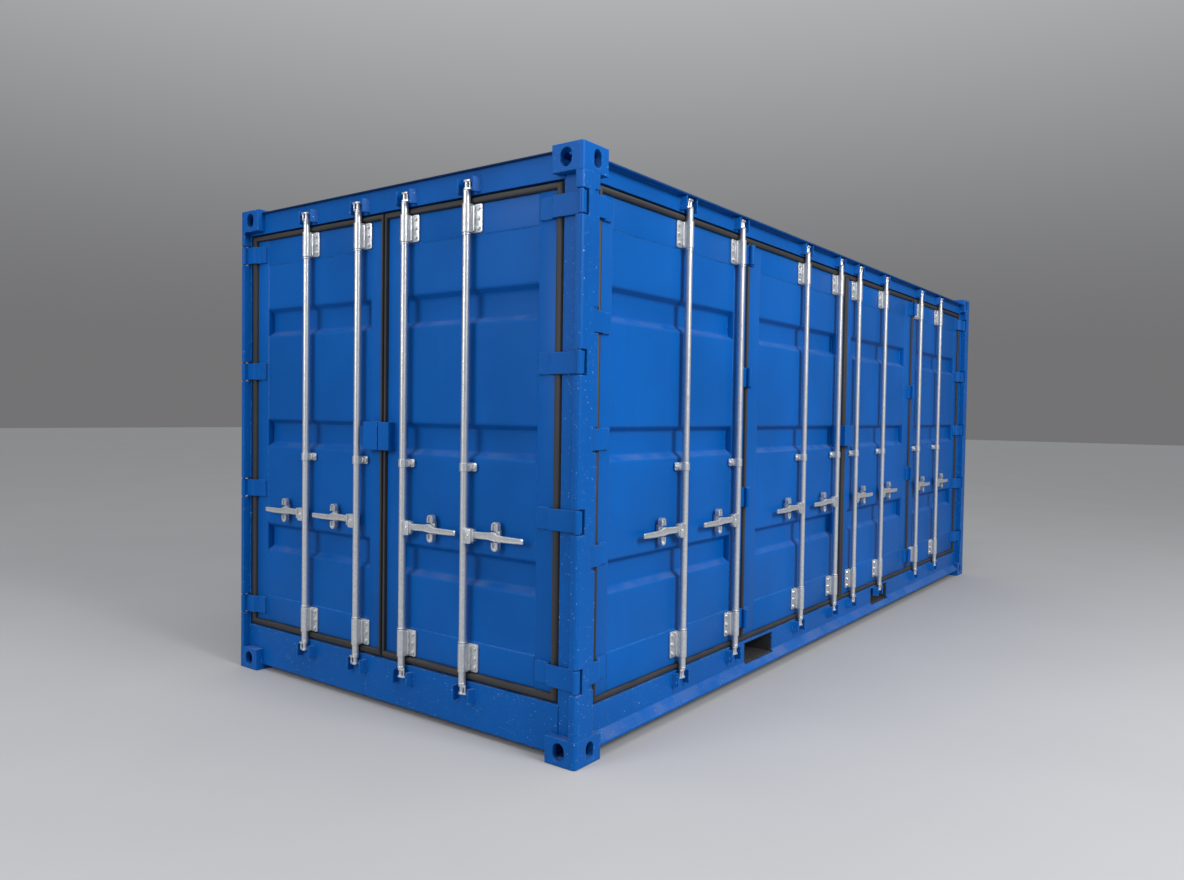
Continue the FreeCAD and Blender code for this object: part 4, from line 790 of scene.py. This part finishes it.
def handle(piece, s, way):
    """The handle's section is a superellipse whose height, thickness and middle change along its length."""
    share_along = (0.0, 0.03, 0.05, 0.20, 0.30, 0.38, 0.43, 0.48, 0.54, 0.60, 0.75, 0.985, 1.0)
    half_high_mm = (15.0, 15.5, 16.5, 16.5, 17.0, 20.0, 21.0, 17.0, 14.5, 14.5, 14.0, 12.5, 10.0)
    half_thick_mm = (5.4, 6.0, 6.6, 6.6, 6.8, 7.0, 7.0, 6.8, 5.8, 5.2, 5.4, 5.4, 3.5)
    lifted_mm = (0.0, 0.0, 0.0, 1.0, 2.0, 2.5, 1.0, -2.0, -4.0, -5.0, -5.0, -4.0, -4.0)
    t = np.linspace(0, 1, 54)
    high, thick, lifted = (np.interp(t, share_along, values) / 1000
                           for values in (half_high_mm, half_thick_mm, lifted_mm))
    start = 0.066
    along = start + t * (HANDLE_LONG - start)
    angle = np.arange(20) * 2 * math.pi / 20
    across = np.sign(np.cos(angle)) * np.abs(np.cos(angle)) ** 0.7
    over = np.sign(np.sin(angle)) * np.abs(np.sin(angle)) ** 0.7
    middle = HANDLE_MID + lifted
    sections = np.stack(np.broadcast_arrays(
        (s + way * along)[:, None], ROD_DEPTH + thick[:, None] * across[None],
        middle[:, None] + high[:, None] * over[None]), -1)
    piece.loft(sections)
    for up in (-1, 1):
        ridge = sections[4:-2].mean(1)
        ridge[:, 1] = ROD_DEPTH - thick[4:-2] + 0.0004
        ridge[:, 2] += up * (high[4:-2] - 0.0055)
        turn = angle[:8] * 2.5
        circle = np.stack([0 * turn, 0.0022 * np.sin(turn), 0.0032 * np.cos(turn)], 1)
        piece.loft(ridge[:, None] + circle[None])


def lock_rod(name, material):
    """A galvanised tube with a cam at each end, stop collars beside the sleeves, a hub and a handle."""
    face, _, way = RODS[name]
    s = rod_place(name)
    axis = (s, ROD_DEPTH, 0)
    piece = Piece(f"lock_{name}", face)
    lathe(piece, disc_profile(ROD_RADIUS, ROD_LOW + CAM_HIGH, ROD_HIGH - CAM_HIGH, 0.002), axis, 40)
    cam(piece, s, way, ROD_LOW, False)
    cam(piece, s, way, ROD_HIGH - CAM_HIGH, True)
    for low in (SLEEVE_LOW + SLEEVE_HIGH + 0.003, SLEEVE_TOP - 0.011):
        lathe(piece, disc_profile(0.0202, low, low + 0.008, 0.0015), axis, 32)
    front, back = ROD_DEPTH - 0.0138, ROD_DEPTH + 0.0128
    # the hub, the handle's root in it and the clamp plate at its end
    for near, far, inset, below, above, corner, edge in (
            (0.002, HUB_WIDE, 0.0, HUB_HALF, HUB_HALF, 0.009, 0.003),
            (HUB_WIDE - 0.004, HUB_WIDE + 0.008, 0.006, 0.012, 0.024, 0.002, 0.001),
            (HUB_WIDE + 0.005, HUB_WIDE + 0.013, 0.002, 0.024, 0.032, 0.003, 0.002)):
        slab(piece, (s + way * near, front + inset, HUB_MID - below),
             (s + way * far, back - inset, HUB_MID + above), 1, corner, edge)
    pivot, pivot_up = s + way * 0.036, HUB_MID + 0.001
    annulus(piece, (pivot, 0, pivot_up), 0.0095, 0.0125, front - 0.0008, front + 0.002, 24, 1)
    rivets(piece, [(pivot, front, pivot_up)], 0.0065, 0.0022)
    handle(piece, s, way)
    return piece.make(material, name, "lock_steel", 35.0, [name])


def sleeve(piece, s, low, high):
    """A housing round the rod. In each direction from the axis its wall runs from the bore to a U: a half
    circle in front, straight sides and the leaf's face behind."""
    angle = np.arange(56) * 2 * math.pi / 56
    c, d = np.cos(angle), np.sin(angle)
    with np.errstate(divide="ignore"):
        behind = np.minimum(SLEEVE_HALF / np.abs(c), (LEAF_FACE - ROD_DEPTH) / np.abs(d))
    outer = np.where(d > 0, behind, SLEEVE_HALF)
    edge = 0.0015
    rim = [(SLEEVE_BORE, low + edge), (SLEEVE_BORE + edge, low), (None, low), (0.0, low + edge),
           (0.0, high - edge), (None, high), (SLEEVE_BORE + edge, high), (SLEEVE_BORE, high - edge)]
    sections = []
    for radius, z in rim:
        if radius is None:
            radius = outer - edge
        elif radius == 0.0:
            radius = outer
        sections.append(np.stack([s + radius * c, ROD_DEPTH + radius * d, np.full(len(c), z)], 1))
    piece.loft(np.transpose(np.array(sections), (1, 0, 2)), ring=True)


def bracket(piece, s, low, high, plate_wide, bolt_places):
    """A sleeve with a bolted foot plate beside it and a raised rib between the two."""
    sleeve(piece, s, low, high)
    outer = s - SLEEVE_HALF - plate_wide
    slab(piece, (outer, LEAF_FACE - 0.009, low), (s - SLEEVE_HALF + 0.004, LEAF_FACE, high), 1, 0.009, 0.0025)
    slab(piece, (s - SLEEVE_HALF - 0.009, LEAF_FACE - 0.020, low + 0.006),
         (s - SLEEVE_HALF + 0.003, LEAF_FACE - 0.006, high - 0.006), 1, 0.004, 0.004)
    middle = outer + (plate_wide - 0.009) * 0.48
    bolts(piece, [(middle, LEAF_FACE - 0.009, low + share_up * (high - low)) for share_up in bolt_places])


def catch(piece, s, way):
    """The handle's catch: a back plate on a stem, and above and below the handle an arch, half an oblong ring
    that stands forward, round a recess with an eye."""
    middle = s + way * CATCH_AWAY
    front, back, lobe = 0.0362, 0.0420, 0.0200
    for wide, high, near, far, corner, edge in ((0.019, 0.034, front, back, 0.006, 0.0012),
                                                (0.011, 0.030, back - 0.002, LEAF_FACE, 0.003, 0.001)):
        slab(piece, (middle - wide, near, CATCH_MID - high), (middle + wide, far, CATCH_MID + high),
             1, corner, edge)
    turn = np.linspace(0, math.pi, 15)
    for up in (-1, 1):
        base, crown = CATCH_MID + up * 0.027, CATCH_MID + up * 0.046
        for radius, inner, near, far in ((0.0193, 0.0125, lobe, back), (0.0130, 0.0, lobe + 0.008, back)):
            sections = []
            for reach, along in ((radius, near), (radius, far), (inner, far), (inner, near)):
                arch = np.stack([middle + reach * np.cos(turn), crown + up * reach * np.sin(turn)], 1)
                legs = [(middle + reach, base), *arch, (middle - reach, base)]
                sections.append([(across, along, z) for across, z in legs])
            piece.loft(np.transpose(np.array(sections), (1, 0, 2)))
        annulus(piece, (middle, 0, crown + up * 0.002), 0.0035, 0.0062, lobe + 0.0065, lobe + 0.010, 16, 1)
    rivets(piece, [(middle, front, CATCH_MID - 0.022)], 0.0055, 0.003)


def brackets(name, node, body, rods, material):
    face = RODS[rods[0]][0]
    piece = Piece(name, face)
    for rod in rods:
        s, way = rod_place(rod), RODS[rod][2]
        for low in (SLEEVE_LOW, SLEEVE_TOP):
            bracket(piece, s, low, low + SLEEVE_HIGH, 0.050, (0.16, 0.50, 0.84))
            rivets(piece, [(s - 0.0165, ROD_DEPTH - 0.0125, low + up * SLEEVE_HIGH) for up in (0.2, 0.8)],
                   0.0035, 0.002)
        bracket(piece, s, GUIDE_MID - GUIDE_HIGH / 2, GUIDE_MID + GUIDE_HIGH / 2, 0.030, (0.5,))
        catch(piece, s, way)
    return piece.make(material, body, "lock_steel", 35.0, [node])


# ---------------------------------------------------------------------------
# corrugated sheets and floor
# ---------------------------------------------------------------------------

ROOF_TOP, SHEET_DEPTH, FLAT_SHARE = 2.575, 0.008, 0.27
FAR_WAVES, REAR_WAVES, ROOF_WAVES = 21, 9, 27
WALL_WAVE, WALL_CREASE, ROOF_WAVE, ROOF_CREASE = 0.036, 0.014, 0.013, 0.016
CASTING_LONG, CASTING_HIGH = 0.178, 0.118


def wave_line(start, end, waves, deep, crease):
    """One trapezoid wave after another, crest, slope, trough and slope, with every crease eased."""
    pitch = (end - start) / waves
    flat = pitch * FLAT_SHARE
    slope = pitch / 2 - flat
    line = [(start, 0.0)]
    for number in range(waves):
        here = start + number * pitch + flat / 2
        line += [(here, 0.0), (here + slope, deep), (here + slope + flat, deep),
                 (here + 2 * slope + flat, 0.0)]
    return rounded(line + [(end, 0.0)], crease, 6)


def corrugated(name, face, line, low, high, material, pressing, node):
    """The wave line drawn along the sheet's width, its back one sheet thickness further in."""
    piece = Piece(name, face)
    s, depth = line[:, 0], line[:, 1] + SHEET_DEPTH
    low, high = np.broadcast_to(low, s.shape), np.broadcast_to(high, s.shape)
    back = depth + pressing.sheet
    corners = ((depth, low), (depth, high), (back, high), (back, low))
    piece.loft(np.stack([np.stack([s, d, z], 1) for d, z in corners], 1))
    return piece.make(material, "root", "panel_paint", 30.0, [node])


def far_wall(material, pressing):
    (x0, x1), _, (z0, z1) = span("far_wall", "side")
    line = wave_line(x0, x1, FAR_WAVES, WALL_WAVE, WALL_CREASE)
    under = np.where(np.abs(line[:, 0]) > LENGTH_HALF - CASTING_LONG, HEIGHT - CASTING_HIGH, z1)
    return corrugated("sheet_far_wall", "far", line, z0, under, material, pressing, "far_wall")


def rear_wall(material, pressing):
    (y0, y1), _, (z0, z1) = span("rear_wall", "end")
    line = wave_line(y0, y1, REAR_WAVES, WALL_WAVE, WALL_CREASE)
    return corrugated("sheet_rear_wall", "rear", line, z0, z1, material, pressing, "rear_wall")


def roof_panel(material, pressing):
    """The roof's waves rise out of its flat edges: at a distance e from a long edge they have the share
    (1 - cos(pi e')) / 2 of their height, e' running from 0 to 1 between 100 and 190 mm."""
    low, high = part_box("roof_panel")
    line = wave_line(low.x, high.x, ROOF_WAVES, ROOF_WAVE, ROOF_CREASE)
    edges = np.array([0.0, 0.10, 0.115, 0.13, 0.145, 0.16, 0.175, 0.19])
    across = np.concatenate([low.y + edges, (high.y - edges)[::-1]])
    apart = np.clip((np.concatenate([edges, edges[::-1]]) - 0.10) / 0.09, 0, 1)
    rise = (1 - np.cos(math.pi * apart)) / 2
    depth = HEIGHT - ROOF_TOP + ROOF_WAVE - (ROOF_WAVE - line[:, 1:2]) * rise[None]
    outer = np.stack(np.broadcast_arrays(line[:, :1], depth, across[None]), -1)
    inner = outer[:, ::-1] + (0, pressing.sheet, 0)
    piece = Piece("sheet_roof", "top")
    piece.loft(np.concatenate([outer, inner], 1))
    return piece.make(material, "root", "roof_paint", 30.0, ["roof_panel"])


def floor_boards(material):
    """Plywood boards in a grid, a filler strip past the rear posts and rows of screws over the members."""
    low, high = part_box("floor_boards")
    post = 0.101
    rear, gap = LENGTH_HALF - post, 0.0015
    piece = Piece("floor_boards_laid")
    across = np.linspace(low.y, high.y, 3)
    along = np.linspace(low.x, rear, 6)
    for y0, y1 in zip(across, across[1:]):
        for x0, x1 in zip(along, along[1:]):
            slab(piece, (x0 + gap, y0 + gap, low.z), (x1 - gap, y1 - gap, high.z), 2, 0.002, 0.0015)
    slab(piece, (rear + gap, low.y + gap, low.z), (high.x, WIDTH_HALF - post - gap, high.z), 2, 0.002, 0.0015)
    head = [(0.0055, high.z - 0.002), (0.0055, high.z + 0.0002), (0.0028, high.z - 0.0002)]
    screws = lathe_sections(head, 10)
    rows = [(x, y, 0) for x in np.linspace(low.x + 0.06, rear - 0.06, 20)
            for y in np.linspace(low.y + 0.05, high.y - 0.09, 9)]
    piece.lofts(screws, rows)
    return piece.make(material, "root", "floor_wood", 30.0, ["floor_boards"])


# ---------------------------------------------------------------------------
# weld beads
# ---------------------------------------------------------------------------

KEEPER_LEVELS, KEEPER_HIGH, KEEPER_FOOT, SET_BACK = (0.150, 2.468), 0.066, 0.066, 0.043
STRAP_END, STRAP_LAND, STRAP_HALF = 0.262, 0.200, 0.046
FAR_SHIFT = 0.088  # how much slimmer the far door post is than the near one
END_HINGE_HEIGHTS = (0.365, 1.030, 1.690, 2.345)
POST_HINGE_HEIGHTS = (0.371, 0.873, 1.370, 1.870, 2.353)
FOLD_HINGE_HEIGHTS = (0.357, 1.030, 1.690, 2.361)
FOLD_SEAM, FOLD_BLADE, FOLD_HALF = 1.452, 0.062, 0.052


def strap_welds(piece, heights, start, end, depth, radius):
    """Three beads round a strap: above, below and across its end."""
    for height in heights:
        low, high = height - STRAP_HALF, height + STRAP_HALF
        bead(piece, (start, depth, low), (end, depth, low), radius)
        bead(piece, (start, depth, high), (end, depth, high), radius)
        bead(piece, (end, depth, low), (end, depth, high), radius)


def leaf_welds(leaf, material, radius):
    """Beads round the straps of an end leaf and round the box over its seam."""
    face, body = LEAVES[leaf][:2]
    side = -1 if leaf == "near_leaf" else 1
    piece = Piece(f"welds_{leaf}", face)
    shift = FAR_SHIFT if side > 0 else 0.0
    start, end = (side * (WIDTH_HALF - place + shift) for place in (STRAP_LAND, STRAP_END))
    strap_welds(piece, END_HINGE_HEIGHTS, start, end, LEAF_FACE - 0.001, radius)
    box = "near_lock_tab" if side < 0 else "far_lock_box"
    (s0, s1), _, (z0, z1) = span(box, face)
    inner, outer = (s1, s0) if side < 0 else (s0, s1)
    away = 0.03 * side
    bead(piece, (inner + away, LEAF_FACE - 0.001, z1), (outer, LEAF_FACE - 0.001, z1), radius)
    bead(piece, (outer, LEAF_FACE - 0.001, z0), (outer, LEAF_FACE - 0.001, z1), radius)
    return piece.make(material, body, "door_paint", 60.0)


SILL_STEP, HEADER_FOOT, HEADER_STEP = 0.120, 2.459, 2.471
END_POST_WIDE, SIDE_POST_WIDE, END_SILL_TOP, SIDE_SILL_TOP = 0.127, 0.170, 0.239, 0.220
POST_STRAP_NEAR, POST_STRAP_FAR, FOLD_STRAP_FOOT = 0.222, 0.272, 0.018
KNUCKLE_NOTCH_HALF, NOTCH_NEAR, NOTCH_FAR, NOTCH_DEPTH = 0.0545, 0.006, 0.032, 0.043


def frame_welds(material, radius):
    """Beads of the frame: keepers, the ends of headers and sills, folding hinges and the notches' edges."""
    made = []
    for face, half, post, sill_top, rods in (("end", WIDTH_HALF, END_POST_WIDE, END_SILL_TOP, range(1, 5)),
                                             ("side", LENGTH_HALF, SIDE_POST_WIDE, SIDE_SILL_TOP, range(1, 9))):
        piece = Piece(f"welds_{face}_frame", face)
        depth = SET_BACK - 0.0005
        for number in rods:
            place = rod_place(f"{face}_rod_{number}")
            for level in KEEPER_LEVELS:
                for way in (-1, 1):
                    foot = place + way * KEEPER_FOOT
                    bead(piece, (foot, depth, level), (foot, depth, level + KEEPER_HIGH), radius)
        for side in (-1, 1):
            shift = FAR_SHIFT if face == "end" and side > 0 else 0.0
            joint = side * (half - post + shift)
            for low, high in ((SILL_STEP, sill_top), (HEADER_FOOT, HEADER_STEP)):
                bead(piece, (joint, depth, low), (joint, depth, high), radius * 1.2)
        made.append(piece)
    side_piece = made[1]
    for side in (-1, 1):
        strap_welds(side_piece, POST_HINGE_HEIGHTS, side * (LENGTH_HALF - POST_STRAP_NEAR),
                    side * (LENGTH_HALF - POST_STRAP_FAR), LEAF_FACE - 0.001, radius)
        for way in (-1, 1):
            for height in FOLD_HINGE_HEIGHTS:
                edge = side * FOLD_SEAM + way * FOLD_BLADE
                inner = side * FOLD_SEAM + way * FOLD_STRAP_FOOT
                low, high = height - FOLD_HALF, height + FOLD_HALF
                bead(side_piece, (edge, LEAF_FACE - 0.001, low), (edge, LEAF_FACE - 0.001, high), radius)
                bead(side_piece, (inner, LEAF_FACE - 0.001, high), (edge, LEAF_FACE - 0.001, high), radius)
    for side in (-1, 1):
        for height in END_HINGE_HEIGHTS:
            for edge in (-1, 1):
                level = height + edge * KNUCKLE_NOTCH_HALF
                s0, s1 = side * (WIDTH_HALF - NOTCH_NEAR), side * (WIDTH_HALF - NOTCH_FAR)
                bead(made[0], (s0, NOTCH_DEPTH, level), (s1, NOTCH_DEPTH, level), 0.0025)
    return [piece.make(material, "root", "frame_paint", 60.0) for piece in made]


# ---------------------------------------------------------------------------
# finishes of the frame's own nodes
# ---------------------------------------------------------------------------

FRAME_NODES = ["door_post_near", "door_post_far", "rear_post_near", "rear_post_far", "door_sill", "side_sill",
               "far_bottom_rail", "far_top_rail", "rear_sill", "rear_header",
               "top_castings", "bottom_castings"]
HINGE_NODES = ["near_leaf_hinges", "far_leaf_hinges", "side_hinges"]
BOX_NODES = ["far_lock_box", "near_lock_tab", "side_lock_box"]
KEEPER_NODES = ["end_keepers", "side_keepers"]


def finish_nodes(names, material):
    for name in names:
        mesh = NODES[name].data
        mesh.materials.clear()
        mesh.materials.append(material)


def finishes():
    """Every material by name; they and the shader groups are built the first time one is asked for."""
    if "container_ageing" not in bpy.data.node_groups:
        ageing_group()
        spangle_group()
        given = bpy.context.scene.container
        # the last column is the height above which a header's top lip gets painted shade
        for name, dust, runs, chips, lip_shade_over in (
                ("blue_frame", 0.6, 0.25, 0.35, None), ("blue_end_header", 0.6, 0.25, 0.1, 2.566),
                ("blue_side_header", 0.6, 0.25, 0.1, 2.5375), ("blue_doors", 0.4, 0.3, 0.0, None),
                ("blue_sheets", 0.5, 0.4, 0.0, None), ("blue_roof", 0.9, 0.0, 0.1, None),
                ("blue_hinges", 0.4, 0.2, 0.2, None)):
            paint_material(name, given.paint, dust, runs, chips, lip_shade_over)
        zinc_material(given.steel)
        rubber_material(given.rubber)
        wood_material(given.wood)
        hidden_material()
    return bpy.data.materials


# ---------------------------------------------------------------------------
# operators
# ---------------------------------------------------------------------------

class CONTAINER_OT_frame(bpy.types.Operator):
    """Paint the castings, posts, headers, sills and rails, and coat the underframe"""
    bl_idname = "container.frame"
    bl_label = "Frame"

    def execute(self, context):
        finish_nodes(FRAME_NODES, finishes()["blue_frame"])
        finish_nodes(["door_header"], finishes()["blue_end_header"])
        finish_nodes(["side_header"], finishes()["blue_side_header"])
        finish_nodes(["underframe"], finishes()["underframe_bitumen"])
        return {"FINISHED"}


class CONTAINER_OT_hinges(bpy.types.Operator):
    """Paint the hinges, the boxes over the lock seams and the keepers"""
    bl_idname = "container.hinges"
    bl_label = "Hinges, boxes and keepers"

    def execute(self, context):
        finish_nodes(HINGE_NODES, finishes()["blue_hinges"])
        finish_nodes(BOX_NODES, finishes()["blue_doors"])
        finish_nodes(KEEPER_NODES, finishes()["blue_frame"])
        return {"FINISHED"}


class CONTAINER_OT_doors(bpy.types.Operator):
    """Build the six door leaves with their pressed sheets"""
    bl_idname = "container.doors"
    bl_label = "Door leaves"

    def execute(self, context):
        for seed, name in enumerate(LEAVES, 11):
            door_leaf(name, finishes()["blue_doors"], context.scene.container.pressing, seed)
        return {"FINISHED"}


class CONTAINER_OT_seals(bpy.types.Operator):
    """Build the lipped rubber seals round the doors and in their seams"""
    bl_idname = "container.seals"
    bl_label = "Rubber seals"

    def execute(self, context):
        for leaf in ("near_leaf", "far_leaf"):
            end_seal(leaf, finishes()["seal_rubber"])
        side_seals(finishes()["seal_rubber"])
        return {"FINISHED"}


class CONTAINER_OT_rods(bpy.types.Operator):
    """Build the twelve lock rods with their cams, hubs and handles"""
    bl_idname = "container.rods"
    bl_label = "Lock rods"

    def execute(self, context):
        for name in RODS:
            lock_rod(name, finishes()["galvanised_steel"])
        return {"FINISHED"}


class CONTAINER_OT_brackets(bpy.types.Operator):
    """Build the rods' bolted brackets and the handles' catches"""
    bl_idname = "container.brackets"
    bl_label = "Brackets and catches"

    def execute(self, context):
        for leaves, node, body, rods in (
                ("far_door", "far_leaf_fittings", "far_door", ["end_rod_1", "end_rod_2"]),
                ("near_door", "near_leaf_fittings", "near_door", ["end_rod_3", "end_rod_4"]),
                ("side_doors", "side_leaf_fittings", "root", [f"side_rod_{n}" for n in range(1, 9)])):
            brackets(f"brackets_{leaves}", node, body, rods, finishes()["galvanised_steel"])
        return {"FINISHED"}


class CONTAINER_OT_walls(bpy.types.Operator):
    """Build the corrugated far wall, rear wall and roof"""
    bl_idname = "container.walls"
    bl_label = "Corrugated sheets"

    def execute(self, context):
        pressing = context.scene.container.pressing
        far_wall(finishes()["blue_sheets"], pressing)
        rear_wall(finishes()["blue_sheets"], pressing)
        roof_panel(finishes()["blue_roof"], pressing)
        return {"FINISHED"}


class CONTAINER_OT_floor(bpy.types.Operator):
    """Lay the plywood floor boards"""
    bl_idname = "container.floor"
    bl_label = "Floor boards"

    def execute(self, context):
        floor_boards(finishes()["floor_plywood"])
        return {"FINISHED"}


class CONTAINER_OT_welds(bpy.types.Operator):
    """Build the weld beads of the frame and of the end leaves"""
    bl_idname = "container.welds"
    bl_label = "Weld beads"

    def execute(self, context):
        radius = context.scene.container.pressing.weld
        for leaf in ("near_leaf", "far_leaf"):
            leaf_welds(leaf, finishes()["blue_doors"], radius)
        frame_welds(finishes()["blue_frame"], radius)
        return {"FINISHED"}


CAMERA_PLACE = Vector((-5.9155, -3.4321, 1.4818))
CAMERA_YAW, CAMERA_PITCH, CAMERA_ROLL, CAMERA_LENS = 53.346, -1.724, 0.827, 27.115


def camera_matrix():
    """Camera axes from its yaw (0 looks along +Y, growing towards +X), pitch and roll."""
    yaw, pitch, roll = (math.radians(angle) for angle in (CAMERA_YAW, CAMERA_PITCH, CAMERA_ROLL))
    ahead = Vector((math.sin(yaw) * math.cos(pitch), math.cos(yaw) * math.cos(pitch), math.sin(pitch)))
    level = Vector((math.cos(yaw), -math.sin(yaw), 0))
    over = level.cross(ahead)
    right = math.cos(roll) * level + math.sin(roll) * over
    up = math.cos(roll) * over - math.sin(roll) * level
    axes = Matrix((right, up, -ahead)).transposed().to_4x4()
    axes.translation = CAMERA_PLACE
    return axes


def lamp(name, place, target, size, power):
    """A round lamp that faces its target."""
    light = bpy.data.lights.new(name, "AREA")
    light.shape, light.size, light.energy = "DISK", size, power
    made = bpy.data.objects.new(name, light)
    facing = (Vector(target) - Vector(place)).to_track_quat("-Z", "Y")
    made.matrix_world = Matrix.Translation(place) @ facing.to_matrix().to_4x4()
    bpy.context.scene.collection.objects.link(made)


class CONTAINER_OT_stage(bpy.types.Operator):
    """Set up the plain floor, the soft lamps and the camera"""
    bl_idname = "container.stage"
    bl_label = "Stage"

    def execute(self, context):
        given = context.scene.container.stage
        mesh = bpy.data.meshes.new("floor")
        reach = 60.0
        mesh.from_pydata([(x, y, 0.0) for x, y in ((-reach, -reach), (reach, -reach), (reach, reach),
                                                   (-reach, reach))], [], [(0, 1, 2, 3)])
        material, tree, shader = new_material("studio_floor")
        place = put(tree, "ShaderNodeTexCoord").outputs["Object"]
        tone = mixed(tree, remap(tree, noise(tree, place, 0.8), 0.3, 0.7), given.floor,
                     [channel * 0.97 for channel in given.floor])
        tree.links.new(tone, shader.inputs["Base Color"])
        shader.inputs["Roughness"].default_value = 0.85
        mesh.materials.append(material)
        floor = bpy.data.objects.new("floor", mesh)
        context.scene.collection.objects.link(floor)
        lamp("key", (-3.0, -9.0, 6.0), (0.0, -1.0, 1.0), 4.0, given.key)
        lamp("fill", (-10.0, 1.5, 4.0), (-2.5, 0.0, 1.2), 4.0, given.fill)
        lamp("over", (-5.0, -2.5, 8.0), (-3.0, -1.2, 0.0), 5.0, given.over)
        world = bpy.data.worlds.new("soft_room")
        world.use_nodes = True
        tree = world.node_tree
        height = put(tree, "ShaderNodeSeparateXYZ", {0: put(tree, "ShaderNodeTexCoord").outputs["Generated"]})
        sky = mixed(tree, remap(tree, height.outputs[2], 0.05, 0.85), (0.19, 0.19, 0.195), (0.86, 0.88, 0.90))
        tree.links.new(sky, tree.nodes["Background"].inputs["Color"])
        tree.nodes["Background"].inputs["Strength"].default_value = 0.9
        context.scene.world = world
        context.scene.view_settings.view_transform = "Standard"
        camera = bpy.data.objects.new("camera", bpy.data.cameras.new("camera"))
        camera.data.lens, camera.data.sensor_width = CAMERA_LENS, 36.0
        camera.data.clip_end = 200.0
        camera.matrix_world = camera_matrix()
        context.scene.collection.objects.link(camera)
        context.scene.camera = camera
        return {"FINISHED"}


OPERATORS = (CONTAINER_OT_frame, CONTAINER_OT_hinges, CONTAINER_OT_doors, CONTAINER_OT_seals,
             CONTAINER_OT_rods, CONTAINER_OT_brackets, CONTAINER_OT_walls, CONTAINER_OT_floor,
             CONTAINER_OT_welds, CONTAINER_OT_stage)


class CONTAINER_PT_panel(bpy.types.Panel):
    """Settings and build steps of the container"""
    bl_idname = "CONTAINER_PT_panel"
    bl_label = "Container"
    bl_space_type = "VIEW_3D"
    bl_region_type = "UI"
    bl_category = "Container"

    def draw(self, context):
        given = context.scene.container
        for group in (given.paint, given.steel, given.rubber, given.wood, given.pressing, given.stage):
            box = self.layout.box()
            for name in group.__annotations__:
                box.prop(group, name)
        for operator in OPERATORS:
            self.layout.operator(operator.bl_idname)


CLASSES = (PaintSettings, SteelSettings, RubberSettings, WoodSettings, PressingSettings, StageSettings,
           ContainerSettings, *OPERATORS, CONTAINER_PT_panel)


def register():
    for kind in CLASSES:
        bpy.utils.register_class(kind)
    bpy.types.Scene.container = PointerProperty(type=ContainerSettings)


def unregister():
    del bpy.types.Scene.container
    for kind in reversed(CLASSES):
        bpy.utils.unregister_class(kind)


def main():
    register()
    for operator in OPERATORS:
        group, name = operator.bl_idname.split(".")
        getattr(getattr(bpy.ops, group), name)()


if __name__ == "__main__":
    main()
